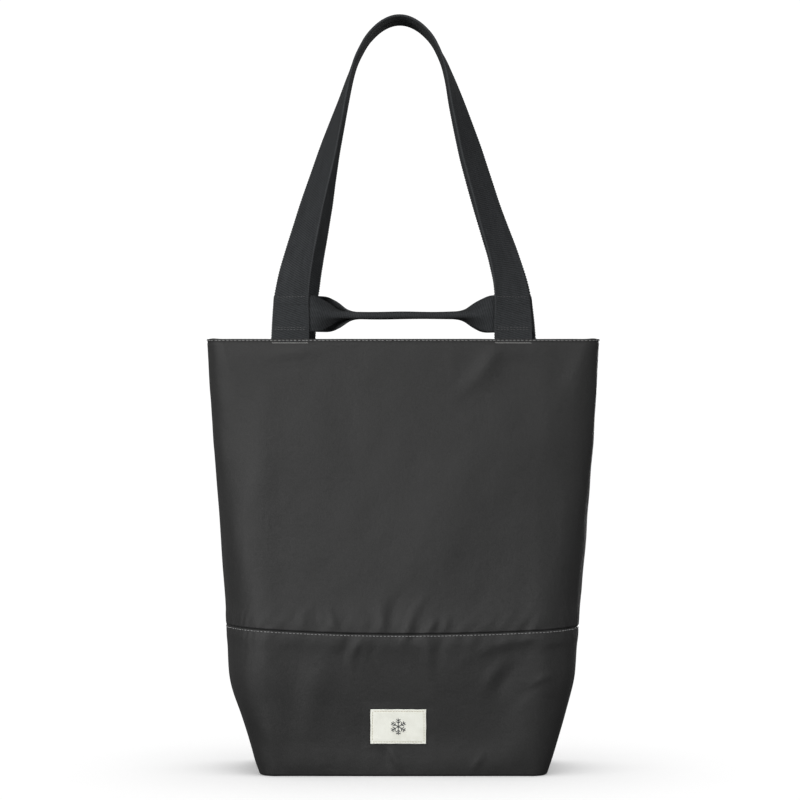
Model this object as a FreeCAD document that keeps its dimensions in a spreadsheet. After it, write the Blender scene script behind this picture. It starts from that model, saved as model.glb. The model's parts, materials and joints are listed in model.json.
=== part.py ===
import FreeCAD, Part

import math
import os

import Sketcher

from FreeCAD import Placement, Rotation, Vector

# An insulated tote bag: fabric shell, foam walls, lining, two webbing straps that each carry a
# grab handle, and a zip set into the mouth. Origin at the centre of the base, +Z up, front -Y.

SIZES = {
    # outer shell: half widths (X) and half depths (Y) at the base, at the break and at the rim
    "base_half_width": 142.0,
    "base_half_depth": 67.5,
    "break_half_width": 173.5,
    "break_half_depth": 70.0,
    "rim_half_width": 198.5,
    "rim_half_depth": 19.5,
    "base_radius": 14.0,
    "break_radius": 16.0,
    "rim_radius": 10.0,
    "break_level": 96.0,
    "seam_level": 142.0,
    "rim_level": 433.0,
    "over_rim": 20.0,
    # layers of the wall
    "skin": 1.0,
    "play": 0.2,
    "foam": 5.0,
    "lining": 0.8,
    "board": 2.0,
    "facing": 3.4,
    "facing_drop": 30.0,
    # straps
    "web_width": 38.0,
    "web_thick": 2.2,
    "strap_reach": 112.0,
    "strap_depth": 17.3,
    "front_shift": -1.6,
    "rear_shift": 3.7,
    "apex_rise": 322.0,
    "tail_drop": 24.0,
    "hem_axis_rise": 1.6,
    "fold_axis_rise": 48.0,
    "crease_gap": 1.4,
    # grab handles
    "grab_low": 7.0,
    "grab_high": 44.0,
    "grab_tube_tall": 7.6,
    "grab_tube_deep": 12.0,
    "grab_flare": 34.0,
    "grab_edge": 0.6,
    "grab_half_rolled": 2.0,
    "grab_rolled": 3.0,
    # zip
    "zip_level": 421.0,
    "tape_outer": 15.6,
    "tape_inner": 2.6,
    "tape_thick": 0.7,
    "coil_outer": 2.9,
    "coil_inner": 0.8,
    "coil_tall": 2.2,
    "zip_left": -160.0,
    "zip_right": 171.0,
    "zip_end_left": -190.0,
    "zip_end_right": 190.0,
    "chain_gap": 0.5,
    "left_stop": 2.0,
    "right_stop": 4.0,
    "slider_rest": -181.0,
    "slider_long": 11.0,
    "slider_wide": 8.4,
    "slider_plate": 1.1,
    "slider_gap": 3.0,
    "slider_web": 0.9,
    "cheek_half_long": 2.0,
    "cheek_thick": 1.1,
    "cheek_over_pin": 0.8,
    "pin_seat": 0.5,
    "pull_long": 18.0,
    "pull_wide": 6.0,
    "pull_thick": 1.4,
    "pull_neck": 3.2,
    "pull_neck_long": 5.0,
    "pull_tab_from": 4.0,
    "pin_radius": 0.8,
    "hub_radius": 1.9,
    "hub_bore": 1.15,
    # label patch
    "label_wide": 55.0,
    "label_tall": 34.0,
    "label_thick": 0.7,
    "label_shift": -5.0,
    "label_level": 49.0,
}

doc = FreeCAD.newDocument("cooler_bag")
sheet = doc.addObject("Spreadsheet::Sheet", "sizes")
for row, (alias, value) in enumerate(SIZES.items(), start=1):
    sheet.set(f"A{row}", alias)
    sheet.set(f"B{row}", str(value))
    sheet.setAlias(f"B{row}", alias)
doc.recompute()

NODES = []
ZERO = "0 * sizes.skin"
SIGNS = {"front": -1, "rear": 1}
HANDS = {"left": -1, "right": 1}


def size(alias):
    """The sheet's value, for shapes that are worked out in code."""
    return float(sheet.get(alias))


def kept(shape_object, name):
    """Gives a sub-part its node name and puts it on the list that is written out."""
    shape_object.Label = name
    NODES.append(shape_object)
    return shape_object


# --- profiles, envelopes and the regions that cut them ---------------------------------------


def rounded_profile(name, wide, deep, radius, level, inset):
    """A rounded rectangle about Z: each dimension is an expression, less the inset."""
    sketch = doc.addObject("Sketcher::SketchObject", name)
    a, b, r = 100.0, 50.0, 10.0
    corners = [(a, b, 0), (-a, b, 90), (-a, -b, 180), (a, -b, 270)]
    arcs = []
    for x, y, start in corners:
        centre = Vector(math.copysign(a - r, x), math.copysign(b - r, y), 0)
        circle = Part.Circle(centre, Vector(0, 0, 1), r)
        first, last = math.radians(start), math.radians(start + 90)
        arcs.append(sketch.addGeometry(Part.ArcOfCircle(circle, first, last)))
    ends = [
        (Vector(a - r, b, 0), Vector(r - a, b, 0)),
        (Vector(-a, b - r, 0), Vector(-a, r - b, 0)),
        (Vector(r - a, -b, 0), Vector(a - r, -b, 0)),
        (Vector(a, r - b, 0), Vector(a, b - r, 0)),
    ]
    lines = [sketch.addGeometry(Part.LineSegment(*pair)) for pair in ends]
    bind = binder(sketch)
    for i in range(4):
        bind("Tangent", arcs[i], 2, lines[i], 1)
        bind("Tangent", lines[i], 2, arcs[(i + 1) % 4], 1)
    bind("Horizontal", lines[0])
    bind("Horizontal", lines[2])
    bind("Vertical", lines[1])
    bind("Vertical", lines[3])
    for i in (1, 2, 3):
        bind("Equal", arcs[0], arcs[i])
    bind("Symmetric", arcs[0], 3, arcs[2], 3, -1, 1)
    named = [
        ("radius", bind("Radius", arcs[0], r), radius),
        ("reach", bind("DistanceX", -1, 1, lines[3], 1, a), wide),
        ("depth", bind("DistanceY", -1, 1, lines[0], 1, b), deep),
    ]
    for label, index, value in named:
        sketch.renameConstraint(index, label)
        sketch.setExpression(f"Constraints.{label}", f"{value} - ({inset})")
    sketch.setExpression("Placement.Base.z", level)
    return sketch


def binder(sketch):
    """A short way to add constraints to one sketch."""

    def bind(*words):
        return sketch.addConstraint(Sketcher.Constraint(*words))

    return bind


def beyond_rim(low, high):
    """An expression: the line from the break to the rim, carried on over the rim."""
    slope = f"(sizes.{high} - sizes.{low}) / (sizes.rim_level - sizes.break_level)"
    return f"(sizes.{high} + {slope} * sizes.over_rim)"


def envelope(name, inset):
    """The bag's outer form, smaller by the inset all round, from the base to above the rim."""
    stations = [
        ("base", ZERO),
        ("break", "sizes.break_level"),
    ]
    profiles = []
    for station, level in stations:
        dims = [f"sizes.{station}_{word}" for word in ("half_width", "half_depth", "radius")]
        profiles.append(rounded_profile(f"{name}_{station}", *dims, level, inset))
    dims = [
        beyond_rim("break_half_width", "rim_half_width"),
        beyond_rim("break_half_depth", "rim_half_depth"),
        "sizes.rim_radius",
    ]
    level = "sizes.rim_level + sizes.over_rim"
    profiles.append(rounded_profile(f"{name}_top", *dims, level, inset))
    loft = doc.addObject("Part::Loft", name)
    loft.Sections = profiles
    loft.Solid = True
    loft.Ruled = True
    return loft


def block(name, low, high):
    """A box between two corners, each given as three expressions."""
    box = doc.addObject("Part::Box", name)
    for axis, size_name, a, b in zip("xyz", ("Length", "Width", "Height"), low, high):
        box.setExpression(f"Placement.Base.{axis}", a)
        box.setExpression(size_name, f"({b}) - ({a})")
    return box


def boolean(kind, name, base, tool):
    """A cut, common part or union of two shapes."""
    made = doc.addObject(f"Part::{kind}", name)
    made.Base = base
    made.Tool = tool
    return made


WIDE = "sizes.rim_half_width + sizes.over_rim"
HALVES = {"front": (f"-({WIDE})", ZERO), "rear": (ZERO, WIDE)}


def wall(name, side, outer, inner, low, high):
    """The front or rear half of a wall between two envelopes, from one level to another."""
    near, far = HALVES[side]
    region = block(f"{name}_region", (f"-({WIDE})", near, low), (WIDE, far, high))
    solid = boolean("Common", f"{name}_solid", outer, region)
    return boolean("Cut", f"{name}_wall", solid, inner)


INSETS = {
    "form_outer": ZERO,
    "form_skin": "sizes.skin",
    "form_foam": "sizes.skin + sizes.play",
    "form_foam_in": "sizes.skin + sizes.play + sizes.foam",
    "form_lining": "sizes.skin + 2 * sizes.play + sizes.foam",
    "form_lining_in": "sizes.skin + 2 * sizes.play + sizes.foam + sizes.lining",
    "form_facing_in": "sizes.skin + sizes.play + sizes.facing",
}
FORM = {name: envelope(name, inset) for name, inset in INSETS.items()}

FLOOR = "sizes.skin + sizes.play"
FACING_LOW = "sizes.rim_level - sizes.facing_drop"
LINING_FLOOR = (
    "sizes.skin + 3 * sizes.play + sizes.board + sizes.foam + sizes.lining + sizes.play"
)


def make_walls():
    for side in SIGNS:
        upper = wall(
            f"{side}_upper", side, FORM["form_outer"], FORM["form_skin"],
            "sizes.seam_level", "sizes.rim_level",
        )
        kept(upper, f"outer_{side}_upper")
        lower = wall(
            f"{side}_lower", side, FORM["form_outer"], FORM["form_skin"],
            "sizes.skin", "sizes.seam_level",
        )
        kept(lower, f"outer_{side}_lower")
        foam = wall(
            f"{side}_foam", side, FORM["form_foam"], FORM["form_foam_in"],
            FLOOR, f"{FACING_LOW} - sizes.play",
        )
        kept(foam, f"foam_{side}")
        lining = wall(
            f"{side}_lining", side, FORM["form_lining"], FORM["form_lining_in"],
            LINING_FLOOR, f"{FACING_LOW} - sizes.play",
        )
        kept(lining, f"lining_{side}")


def make_facings():
    """The hem inside the mouth, with a slot for each strap tail."""
    for side, sign in SIGNS.items():
        facing = wall(
            f"{side}_facing", side, FORM["form_foam"], FORM["form_facing_in"],
            FACING_LOW, "sizes.rim_level",
        )
        for hand, way in HANDS.items():
            middle = f"({way} * sizes.strap_reach + sizes.{side}_shift)"
            across = "(sizes.web_width / 2 + sizes.play)"
            through = "(sizes.web_thick / 2 + sizes.play)"
            depth = f"({sign} * sizes.strap_depth)"
            slot = block(
                f"slot_{side}_{hand}",
                (
                    f"{middle} - {across}",
                    f"{depth} - {through}",
                    "sizes.rim_level - sizes.tail_drop - sizes.play",
                ),
                (f"{middle} + {across}", f"{depth} + {through}", "sizes.rim_level + sizes.over_rim"),
            )
            facing = boolean("Cut", f"facing_{side}_{hand}", facing, slot)
        kept(facing, f"facing_{side}")


# --- flat plates, each a padded sketch --------------------------------------------------------


def origin_plane(body, role):
    return next(f for f in body.Origin.OriginFeatures if f.Role == role)


def plate(name, wide, deep, low, high, radius=None):
    """A plate about Z: half sizes and levels are expressions; radius rounds its upright edges."""
    body = doc.addObject("PartDesign::Body", name)
    sketch = body.newObject("Sketcher::SketchObject", f"{name}_outline")
    sketch.AttachmentSupport = [(origin_plane(body, "XY_Plane"), "")]
    sketch.MapMode = "FlatFace"
    a, b = 40.0, 20.0
    points = [Vector(a, b, 0), Vector(-a, b, 0), Vector(-a, -b, 0), Vector(a, -b, 0)]
    for i in range(4):
        sketch.addGeometry(Part.LineSegment(points[i], points[(i + 1) % 4]))
    for i in range(4):
        sketch.addConstraint(Sketcher.Constraint("Coincident", i, 2, (i + 1) % 4, 1))
    sketch.addConstraint(Sketcher.Constraint("Horizontal", 0))
    sketch.addConstraint(Sketcher.Constraint("Horizontal", 2))
    sketch.addConstraint(Sketcher.Constraint("Vertical", 1))
    sketch.addConstraint(Sketcher.Constraint("Vertical", 3))
    sketch.addConstraint(Sketcher.Constraint("Symmetric", 0, 1, 2, 1, -1, 1))
    for label, words, value in (
        ("reach", ("DistanceX", -1, 1, 0, 1, a), wide),
        ("depth", ("DistanceY", -1, 1, 0, 1, b), deep),
    ):
        index = sketch.addConstraint(Sketcher.Constraint(*words))
        sketch.renameConstraint(index, label)
        sketch.setExpression(f"Constraints.{label}", value)
    sketch.setExpression("AttachmentOffset.Base.z", low)
    pad = body.newObject("PartDesign::Pad", f"{name}_pad")
    pad.Profile = sketch
    pad.setExpression("Length", f"({high}) - ({low})")
    if radius:
        doc.recompute()
        rounding = body.newObject("PartDesign::Fillet", f"{name}_corners")
        upright = [
            f"Edge{i}"
            for i, edge in enumerate(pad.Shape.Edges, start=1)
            if edge.Length > 0 and abs(edge.tangentAt(edge.FirstParameter).z) > 0.99
        ]
        rounding.Base = (pad, upright)
        rounding.setExpression("Radius", radius)
    return body


def move(shape_object, x=ZERO, y=ZERO, z=ZERO):
    for axis, value in (("x", x), ("y", y), ("z", z)):
        shape_object.setExpression(f"Placement.Base.{axis}", value)
    return shape_object


def at_level(station, level):
    """Expression: a base dimension widened to a level below the break."""
    low, high = f"sizes.base_{station}", f"sizes.break_{station}"
    return f"({low} + ({high} - {low}) * ({level}) / sizes.break_level)"


def make_floor():
    kept(
        plate(
            "floor_skin", "sizes.base_half_width", "sizes.base_half_depth",
            ZERO, "sizes.skin", "sizes.base_radius",
        ),
        "outer_base",
    )
    inset = "(sizes.skin + 3 * sizes.play + sizes.foam)"
    board_low = "sizes.skin + sizes.play"
    foam_low = f"{board_low} + sizes.board + sizes.play"
    lining_low = f"{foam_low} + sizes.foam + sizes.play"
    layers = [
        ("base_board", board_low, "sizes.board"),
        ("foam_base", foam_low, "sizes.foam"),
        ("lining_base", lining_low, "sizes.lining"),
    ]
    for name, low, thick in layers:
        wide = f"{at_level('half_width', low)} - {inset}"
        deep = f"{at_level('half_depth', low)} - {inset}"
        radius = f"sizes.base_radius - {inset}"
        kept(plate(f"{name}_plate", wide, deep, low, f"{low} + {thick}", radius), name)


def make_label():
    """A sewn patch that lies against the lower front panel, which leans out by a small angle."""
    patch = plate(
        "patch", "sizes.label_wide / 2", "sizes.label_tall / 2",
        ZERO, "sizes.label_thick",
    )
    lean = math.atan2(
        size("break_half_depth") - size("base_half_depth"), size("break_level")
    )
    patch.Placement.Rotation = Rotation(Vector(1, 0, 0), 90 + math.degrees(lean))
    front = at_level("half_depth", "sizes.label_level")
    move(patch, "sizes.label_shift", f"-({front} + sizes.play / 2)", "sizes.label_level")
    kept(patch, "label_patch")


# --- straps -----------------------------------------------------------------------------------


def crease(name, x, y, z):
    """A round nose across the webbing, on a crease's axis."""
    nose = doc.addObject("Part::Cylinder", name)
    nose.setExpression("Radius", "sizes.web_thick / 2")
    nose.setExpression("Height", "sizes.web_width")
    nose.Placement.Rotation = Rotation(Vector(0, 1, 0), 90)
    move(nose, f"{x} - sizes.web_width / 2", y, z)
    return nose


def web_piece(name, x, y, low, high):
    """A flat length of webbing that ends in a crease nose at its top."""
    half, thick = "sizes.web_width / 2", "sizes.web_thick / 2"
    flat = block(
        f"{name}_flat",
        (f"{x} - {half}", f"{y} - {thick}", low),
        (f"{x} + {half}", f"{y} + {thick}", high),
    )
    return boolean("Fuse", f"{name}_piece", flat, crease(f"{name}_nose", x, y, high))


def make_strap_ends():
    hem = "(sizes.rim_level + sizes.hem_axis_rise)"
    fold = "(sizes.rim_level + sizes.fold_axis_rise)"
    for side, sign in SIGNS.items():
        depth = f"({sign} * sizes.strap_depth)"
        for hand, way in HANDS.items():
            middle = f"({way} * sizes.strap_reach + sizes.{side}_shift)"
            tail = web_piece(
                f"tail_{side}_{hand}", middle, depth, "sizes.rim_level - sizes.tail_drop", hem
            )
            kept(tail, f"{side}_strap_tail_{hand}")
            foot = web_piece(
                f"foot_{side}_{hand}", middle, depth, f"{hem} + sizes.crease_gap", fold
            )
            kept(foot, f"{side}_strap_foot_{hand}")


def strap_line():
    """The left half of a strap's centre line, rising along Z: foot, slope and arch."""
    reach, rise = size("strap_reach"), size("apex_rise")
    low = size("fold_axis_rise") + size("crease_gap")
    stations = [
        (1.0, 0.0),
        (1.0, 0.05),
        (0.74, 0.37),
        (0.60, 0.57),
        (0.46, 0.76),
        (0.25, 1.0),
        (0.0, 1.0),
    ]
    poles = [Vector(-reach * x, 0, low + (rise - low) * z) for x, z in stations]
    spans = len(poles) - 3
    curve = Part.BSplineCurve()
    curve.buildFromPolesMultsKnots(
        poles, [4] + [1] * (spans - 1) + [4], [i / spans for i in range(spans + 1)], False, 3
    )
    return curve


def web_corners(point, along, twist, sign):
    """The webbing's cross section: the twist takes its width from X at the foot to Y on top."""
    across = Vector(0, 1, 0).cross(along).normalize() * math.cos(twist)
    across += Vector(0, sign, 0) * math.sin(twist)
    out = along.cross(across).normalize()
    a, b = across * (size("web_width") / 2), out * (size("web_thick") / 2)
    return [point + a + b, point - a + b, point - a - b, point + a - b]


STRAP_SPANS = 14
TWIST_DONE = 0.86
TWIST_EARLY = 0.3
TWIST_QUICK = 0.08
APEX_GAP = 0.4


def twist_share(u):
    """How much of the quarter turn is done at u along half a strap: quick at first, then even."""

    def turned(part):
        return TWIST_EARLY * (1 - math.exp(-part / TWIST_QUICK)) + (1 - TWIST_EARLY) * part

    return turned(min(u / TWIST_DONE, 1.0)) / turned(1.0)


def make_strap_loops():
    line = strap_line()
    top_depth = size("web_width") / 2 + APEX_GAP
    for side, sign in SIGNS.items():
        left = []
        for i in range(STRAP_SPANS + 1):
            u = i / STRAP_SPANS
            share = twist_share(u)
            depth = size("strap_depth") + share * (top_depth - size("strap_depth"))
            point = line.value(u) + Vector(0, sign * depth, size("rim_level"))
            along = line.tangent(u)[0].normalize()
            left.append(web_corners(point, along, share * math.pi / 2, sign))
        right = [[Vector(-v.x, v.y, v.z) for v in corners] for corners in reversed(left[:-1])]
        sections = [Part.makePolygon(c + c[:1]) for c in left + right]
        loop = doc.addObject("Part::Feature", f"loop_{side}")
        loop.Shape = Part.makeLoft(sections, True, True)
        loop.Placement = Placement(Vector(size(f"{side}_shift"), 0, 0), Rotation())
        kept(loop, f"{side}_strap_loop")


def rounded_wire(x, y, z, deep, tall, radius):
    """A closed outline in the plane across X, as four straights and four arcs."""
    a, b = deep / 2, tall / 2
    edges = []
    k = radius * (1 - math.sqrt(0.5))
    turns = [(1, 1), (-1, 1), (-1, -1), (1, -1)]
    for i, (sy, sz) in enumerate(turns):
        first = Vector(x, y + sy * a, z + sz * (b - radius))
        last = Vector(x, y + sy * (a - radius), z + sz * b)
        middle = Vector(x, y + sy * (a - k), z + sz * (b - k))
        if i % 2:
            first, last = last, first
        edges.append(Part.Arc(first, middle, last).toShape())
        ny, nz = turns[(i + 1) % 4]
        if i % 2:
            following = Vector(x, y + ny * a, z + nz * (b - radius))
        else:
            following = Vector(x, y + ny * (a - radius), z + nz * b)
        edges.append(Part.LineSegment(last, following).toShape())
    return Part.Wire(edges)


def make_grab_handles():
    """Webbing sewn flat behind both strap feet and rolled into a flat tube between them."""
    low, high = size("grab_low"), size("grab_high")
    rim, thick = size("rim_level"), size("web_thick")
    half_web = size("web_width") / 2
    centre_z = rim + (low + high) / 2
    back = size("strap_depth") - thick / 2 - size("play")
    tube, deep = size("grab_tube_tall"), size("grab_tube_deep")
    flat_end = size("strap_reach") + half_web
    flare_end = size("strap_reach") - half_web
    neck = flare_end - size("grab_flare")
    for side, sign in SIGNS.items():
        shift = size(f"{side}_shift")
        stations = [
            (flat_end, thick, high - low, size("grab_edge")),
            (flare_end, thick, high - low, size("grab_edge")),
            (
                (flare_end + neck) / 2,
                (thick + deep) / 2,
                (high - low + tube) / 2,
                size("grab_half_rolled"),
            ),
            (neck, deep, tube, size("grab_rolled")),
        ]
        across = [(-x, d, t, r) for x, d, t, r in stations] + [
            (x, d, t, r) for x, d, t, r in reversed(stations)
        ]
        wires = [
            rounded_wire(x + shift, sign * (back - d / 2), centre_z, d, t, r)
            for x, d, t, r in across
        ]
        handle = doc.addObject("Part::Feature", f"grab_{side}")
        handle.Shape = Part.makeLoft(wires, True, True)
        handle.Placement = Placement()
        kept(handle, f"{side}_grab_handle")


# --- zip --------------------------------------------------------------------------------------

TAPE_LOW = "sizes.zip_level - sizes.tape_thick / 2"
TAPE_HIGH = "sizes.zip_level + sizes.tape_thick / 2"
COIL_LOW = "sizes.zip_level - sizes.coil_tall / 2"
COIL_HIGH = "sizes.zip_level + sizes.coil_tall / 2"


def make_zip_chain():
    for side, sign in SIGNS.items():
        strips = [
            ("tape", "tape_outer", "tape_inner", TAPE_LOW, TAPE_HIGH),
            ("coil", "coil_outer", "coil_inner", COIL_LOW, COIL_HIGH),
        ]
        for strip, outer, inner, low, high in strips:
            near, far = (f"-sizes.{outer}", f"-sizes.{inner}")
            if strip == "tape":
                far = "-sizes.coil_outer"
            if sign > 0:
                near, far = far[1:], near[1:]
            made = block(
                f"zip_{strip}_{side}_strip",
                ("sizes.zip_left", near, low),
                ("sizes.zip_right", far, high),
            )
            kept(made, f"zip_{strip}_{side}")


def make_zip_ends():
    """Where the tapes are sewn together at each end, each with its own short run of chain."""
    for hand, near, far in (
        ("left", "sizes.zip_end_left", "sizes.zip_left - sizes.chain_gap"),
        ("right", "sizes.zip_right + sizes.chain_gap", "sizes.zip_end_right"),
    ):
        parts = []
        for side, sign in SIGNS.items():
            tape_y = (f"{sign} * sizes.tape_outer", f"{sign} * sizes.tape_inner")
            coil_y = (f"{sign} * sizes.coil_outer", f"{sign} * sizes.coil_inner")
            for strip, (a, b), low, high in (
                ("tape", tape_y, TAPE_LOW, TAPE_HIGH),
                ("coil", coil_y, COIL_LOW, COIL_HIGH),
            ):
                first, last = (a, b) if sign < 0 else (b, a)
                parts.append(
                    block(f"end_{hand}_{side}_{strip}", (near, first, low), (far, last, high))
                )
        stop_near = near if hand == "left" else "sizes.zip_end_right - sizes.right_stop"
        stop_far = "sizes.zip_end_left + sizes.left_stop" if hand == "left" else far
        parts.append(
            block(
                f"end_{hand}_stop",
                (stop_near, "-sizes.coil_outer", COIL_LOW),
                (stop_far, "sizes.coil_outer", COIL_HIGH),
            )
        )
        end = doc.addObject("Part::MultiFuse", f"zip_end_{hand}_fused")
        end.Shapes = parts
        kept(end, f"zip_end_{hand}")


def make_slider():
    half, wide = "sizes.slider_long / 2", "sizes.slider_wide / 2"
    gap, thick = "sizes.slider_gap / 2", "sizes.slider_plate"
    middle, level = "sizes.slider_rest", "sizes.zip_level"
    top = f"{level} + {gap} + {thick}"
    pin_level = f"{top} + sizes.hub_radius + sizes.play"
    ends = (f"{middle} - {half}", f"{middle} + {half}")
    cheek = "sizes.pull_neck / 2 + sizes.play"
    pieces = [
        block("slider_top", (ends[0], f"-{wide}", f"{level} + {gap}"), (ends[1], wide, top)),
        block(
            "slider_bottom",
            (ends[0], f"-{wide}", f"{level} - {gap} - {thick}"),
            (ends[1], wide, f"{level} - {gap}"),
        ),
        block(
            "slider_web",
            (ends[0], "-sizes.slider_web / 2", f"{level} - {gap}"),
            (ends[1], "sizes.slider_web / 2", f"{level} + {gap}"),
        ),
    ]
    cheek_half = "sizes.cheek_half_long"
    cheek_top = f"{pin_level} + sizes.pin_radius + sizes.cheek_over_pin"
    for side, first, last in (
        ("front", f"-({cheek} + sizes.cheek_thick)", f"-({cheek})"),
        ("rear", f"{cheek}", f"{cheek} + sizes.cheek_thick"),
    ):
        pieces.append(
            block(
                f"slider_cheek_{side}",
                (f"{middle} - {cheek_half}", first, top),
                (f"{middle} + {cheek_half}", last, cheek_top),
            )
        )
    pin = doc.addObject("Part::Cylinder", "slider_pin")
    pin.setExpression("Radius", "sizes.pin_radius")
    pin.setExpression("Height", f"2 * ({cheek} + sizes.pin_seat)")
    pin.Placement.Rotation = Rotation(Vector(1, 0, 0), 90)
    move(pin, middle, f"{cheek} + sizes.pin_seat", pin_level)
    slider = doc.addObject("Part::MultiFuse", "slider_fused")
    slider.Shapes = pieces + [pin]
    kept(slider, "zip_slider")

    hub = doc.addObject("Part::Cylinder", "pull_hub")
    hub.setExpression("Radius", "sizes.hub_radius")
    hub.setExpression("Height", "sizes.pull_neck")
    bore = doc.addObject("Part::Cylinder", "pull_bore")
    bore.setExpression("Radius", "sizes.hub_bore")
    bore.setExpression("Height", "2 * sizes.pull_neck")
    for round_part, reach in ((hub, "sizes.pull_neck / 2"), (bore, "sizes.pull_neck")):
        round_part.Placement.Rotation = Rotation(Vector(1, 0, 0), 90)
        move(round_part, middle, reach, pin_level)
    under, over = f"{pin_level} - sizes.pull_thick / 2", f"{pin_level} + sizes.pull_thick / 2"
    neck = block(
        "pull_neck_plate",
        (middle, "-sizes.pull_neck / 2", under),
        (f"{middle} + sizes.pull_neck_long", "sizes.pull_neck / 2", over),
    )
    tab = block(
        "pull_tab",
        (f"{middle} + sizes.pull_tab_from", "-sizes.pull_wide / 2", under),
        (f"{middle} + sizes.pull_long", "sizes.pull_wide / 2", over),
    )
    pull = doc.addObject("Part::MultiFuse", "pull_fused")
    pull.Shapes = [hub, neck, tab]
    kept(boolean("Cut", "pull_cut", pull, bore), "zip_pull")


# --- making, checking and writing -------------------------------------------------------------


def check(shape_object):
    shape = shape_object.Shape
    bad = [word for word in shape_object.State if word in ("Invalid", "Error")]
    if bad or shape.isNull() or not shape.isValid() or not shape.Solids:
        raise SystemExit(f"{shape_object.Label}: state {shape_object.State} or shape is wrong")


make_walls()
make_facings()
make_floor()
make_label()
make_strap_ends()
make_strap_loops()
make_grab_handles()
make_zip_chain()
make_zip_ends()
make_slider()
doc.recompute()

for each in doc.Objects:
    if any(word in ("Invalid", "Error") for word in each.State):
        raise SystemExit(f"{each.Name} failed: {each.State}")
for node in NODES:
    check(node)

os.makedirs("parts", exist_ok=True)
for node in NODES:
    node.Shape.exportStep(f"parts/{node.Label}.step")
    box = node.Shape.BoundBox
    print(
        f"{node.Label}: {len(node.Shape.Solids)} solid, {node.Shape.Volume / 1000:.2f} cm3, "
        f"x {box.XMin:.1f} {box.XMax:.1f} y {box.YMin:.1f} {box.YMax:.1f} "
        f"z {box.ZMin:.1f} {box.ZMax:.1f}"
    )
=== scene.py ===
import json
import math

import bpy
import numpy as np
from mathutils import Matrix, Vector
from mathutils.bvhtree import BVHTree


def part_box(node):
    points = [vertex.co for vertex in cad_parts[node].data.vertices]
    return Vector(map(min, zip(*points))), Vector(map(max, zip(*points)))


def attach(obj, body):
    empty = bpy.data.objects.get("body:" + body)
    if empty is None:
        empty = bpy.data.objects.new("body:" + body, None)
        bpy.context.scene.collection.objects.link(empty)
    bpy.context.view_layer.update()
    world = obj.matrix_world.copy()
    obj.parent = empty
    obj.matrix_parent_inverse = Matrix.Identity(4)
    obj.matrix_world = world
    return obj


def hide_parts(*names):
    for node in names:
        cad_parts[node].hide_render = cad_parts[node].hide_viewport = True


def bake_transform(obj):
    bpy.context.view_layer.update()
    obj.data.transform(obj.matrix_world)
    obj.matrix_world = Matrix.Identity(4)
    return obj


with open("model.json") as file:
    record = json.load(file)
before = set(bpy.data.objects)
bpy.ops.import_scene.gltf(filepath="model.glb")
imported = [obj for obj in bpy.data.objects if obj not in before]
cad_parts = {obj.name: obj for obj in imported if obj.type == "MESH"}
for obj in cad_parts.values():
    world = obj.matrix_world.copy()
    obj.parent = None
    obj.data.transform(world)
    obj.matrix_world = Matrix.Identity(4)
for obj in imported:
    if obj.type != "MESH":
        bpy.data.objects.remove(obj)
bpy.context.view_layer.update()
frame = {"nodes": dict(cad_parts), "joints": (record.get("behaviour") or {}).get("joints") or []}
MM = 0.001


def node_box(name):
    """A CAD node's lowest and highest corners, as two arrays in metres."""
    low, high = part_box(name)
    return np.array(low), np.array(high)


# Levels and sizes read from the frame, in metres.
BASE_HALF = node_box("outer_base")[1][:2]
UPPER_LOW, UPPER_HIGH = node_box("outer_front_upper")
PATCH_LOW, PATCH_HIGH = node_box("label_patch")
TAPE_LOW, TAPE_HIGH = node_box("zip_tape_front")
TAPE_LEVEL = (TAPE_LOW[2] + TAPE_HIGH[2]) / 2
TAPE_THICK = TAPE_HIGH[2] - TAPE_LOW[2]
RIM = UPPER_HIGH[2]
SEAM = UPPER_LOW[2]
BREAK_HALF = np.array([173.5, 70.0]) * MM
RIM_HALF = np.array([UPPER_HIGH[0], 19.5 * MM])
BREAK = 96.0 * MM
SIDES = {"front": -1, "rear": 1}
HANDS = {"left": -1, "right": 1}
JOINTS = {j["name"]: j["pos_m"] for j in frame["joints"] if "pos_m" in j}


# --- small sums ---


def bell(value, middle, reach):
    """A smooth hump, 1 high at its middle."""
    return np.exp(-(((value - middle) / reach) ** 2))


def smooth(t):
    """A ramp from 0 to 1 with soft ends."""
    t = np.clip(t, 0, 1)
    return t * t * (3 - 2 * t)


def unit(vectors):
    return vectors / np.maximum(np.linalg.norm(vectors, axis=-1, keepdims=True), 1e-12)


def distances(line):
    """The distance along a line of points, at each point."""
    return np.concatenate([[0], np.cumsum(np.linalg.norm(np.diff(line, axis=0), axis=-1))])


def blurred(values, reach, **edges):
    """Values smoothed over a reach to each side."""
    kernel = np.hanning(2 * reach + 1)
    return np.convolve(np.pad(values, reach, **edges), kernel / kernel.sum(), mode="valid")


def round_rim(edge, thick, least):
    """The share of its thickness that a sheet with round edges has at a distance from them."""
    return np.sqrt(np.clip(1 - (1 - np.clip(edge / (thick / 2), 0, 1)) ** 2, least, 1))


def waves(x, z, seed, shortest, longest, count=9):
    """A smooth uneven field, about -1 to 1, from a few plane waves, whose lengths are given in
    millimetres."""
    rng = np.random.default_rng(seed)
    total = np.zeros_like(x)
    for _ in range(count):
        length = rng.uniform(shortest, longest) * MM
        heading, phase = rng.uniform(0, math.pi), rng.uniform(0, 2 * math.pi)
        place = x * math.cos(heading) + z * math.sin(heading)
        total += np.sin(2 * math.pi * place / length + phase)
    return total / math.sqrt(count)


# --- meshes from grids ---


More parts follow.
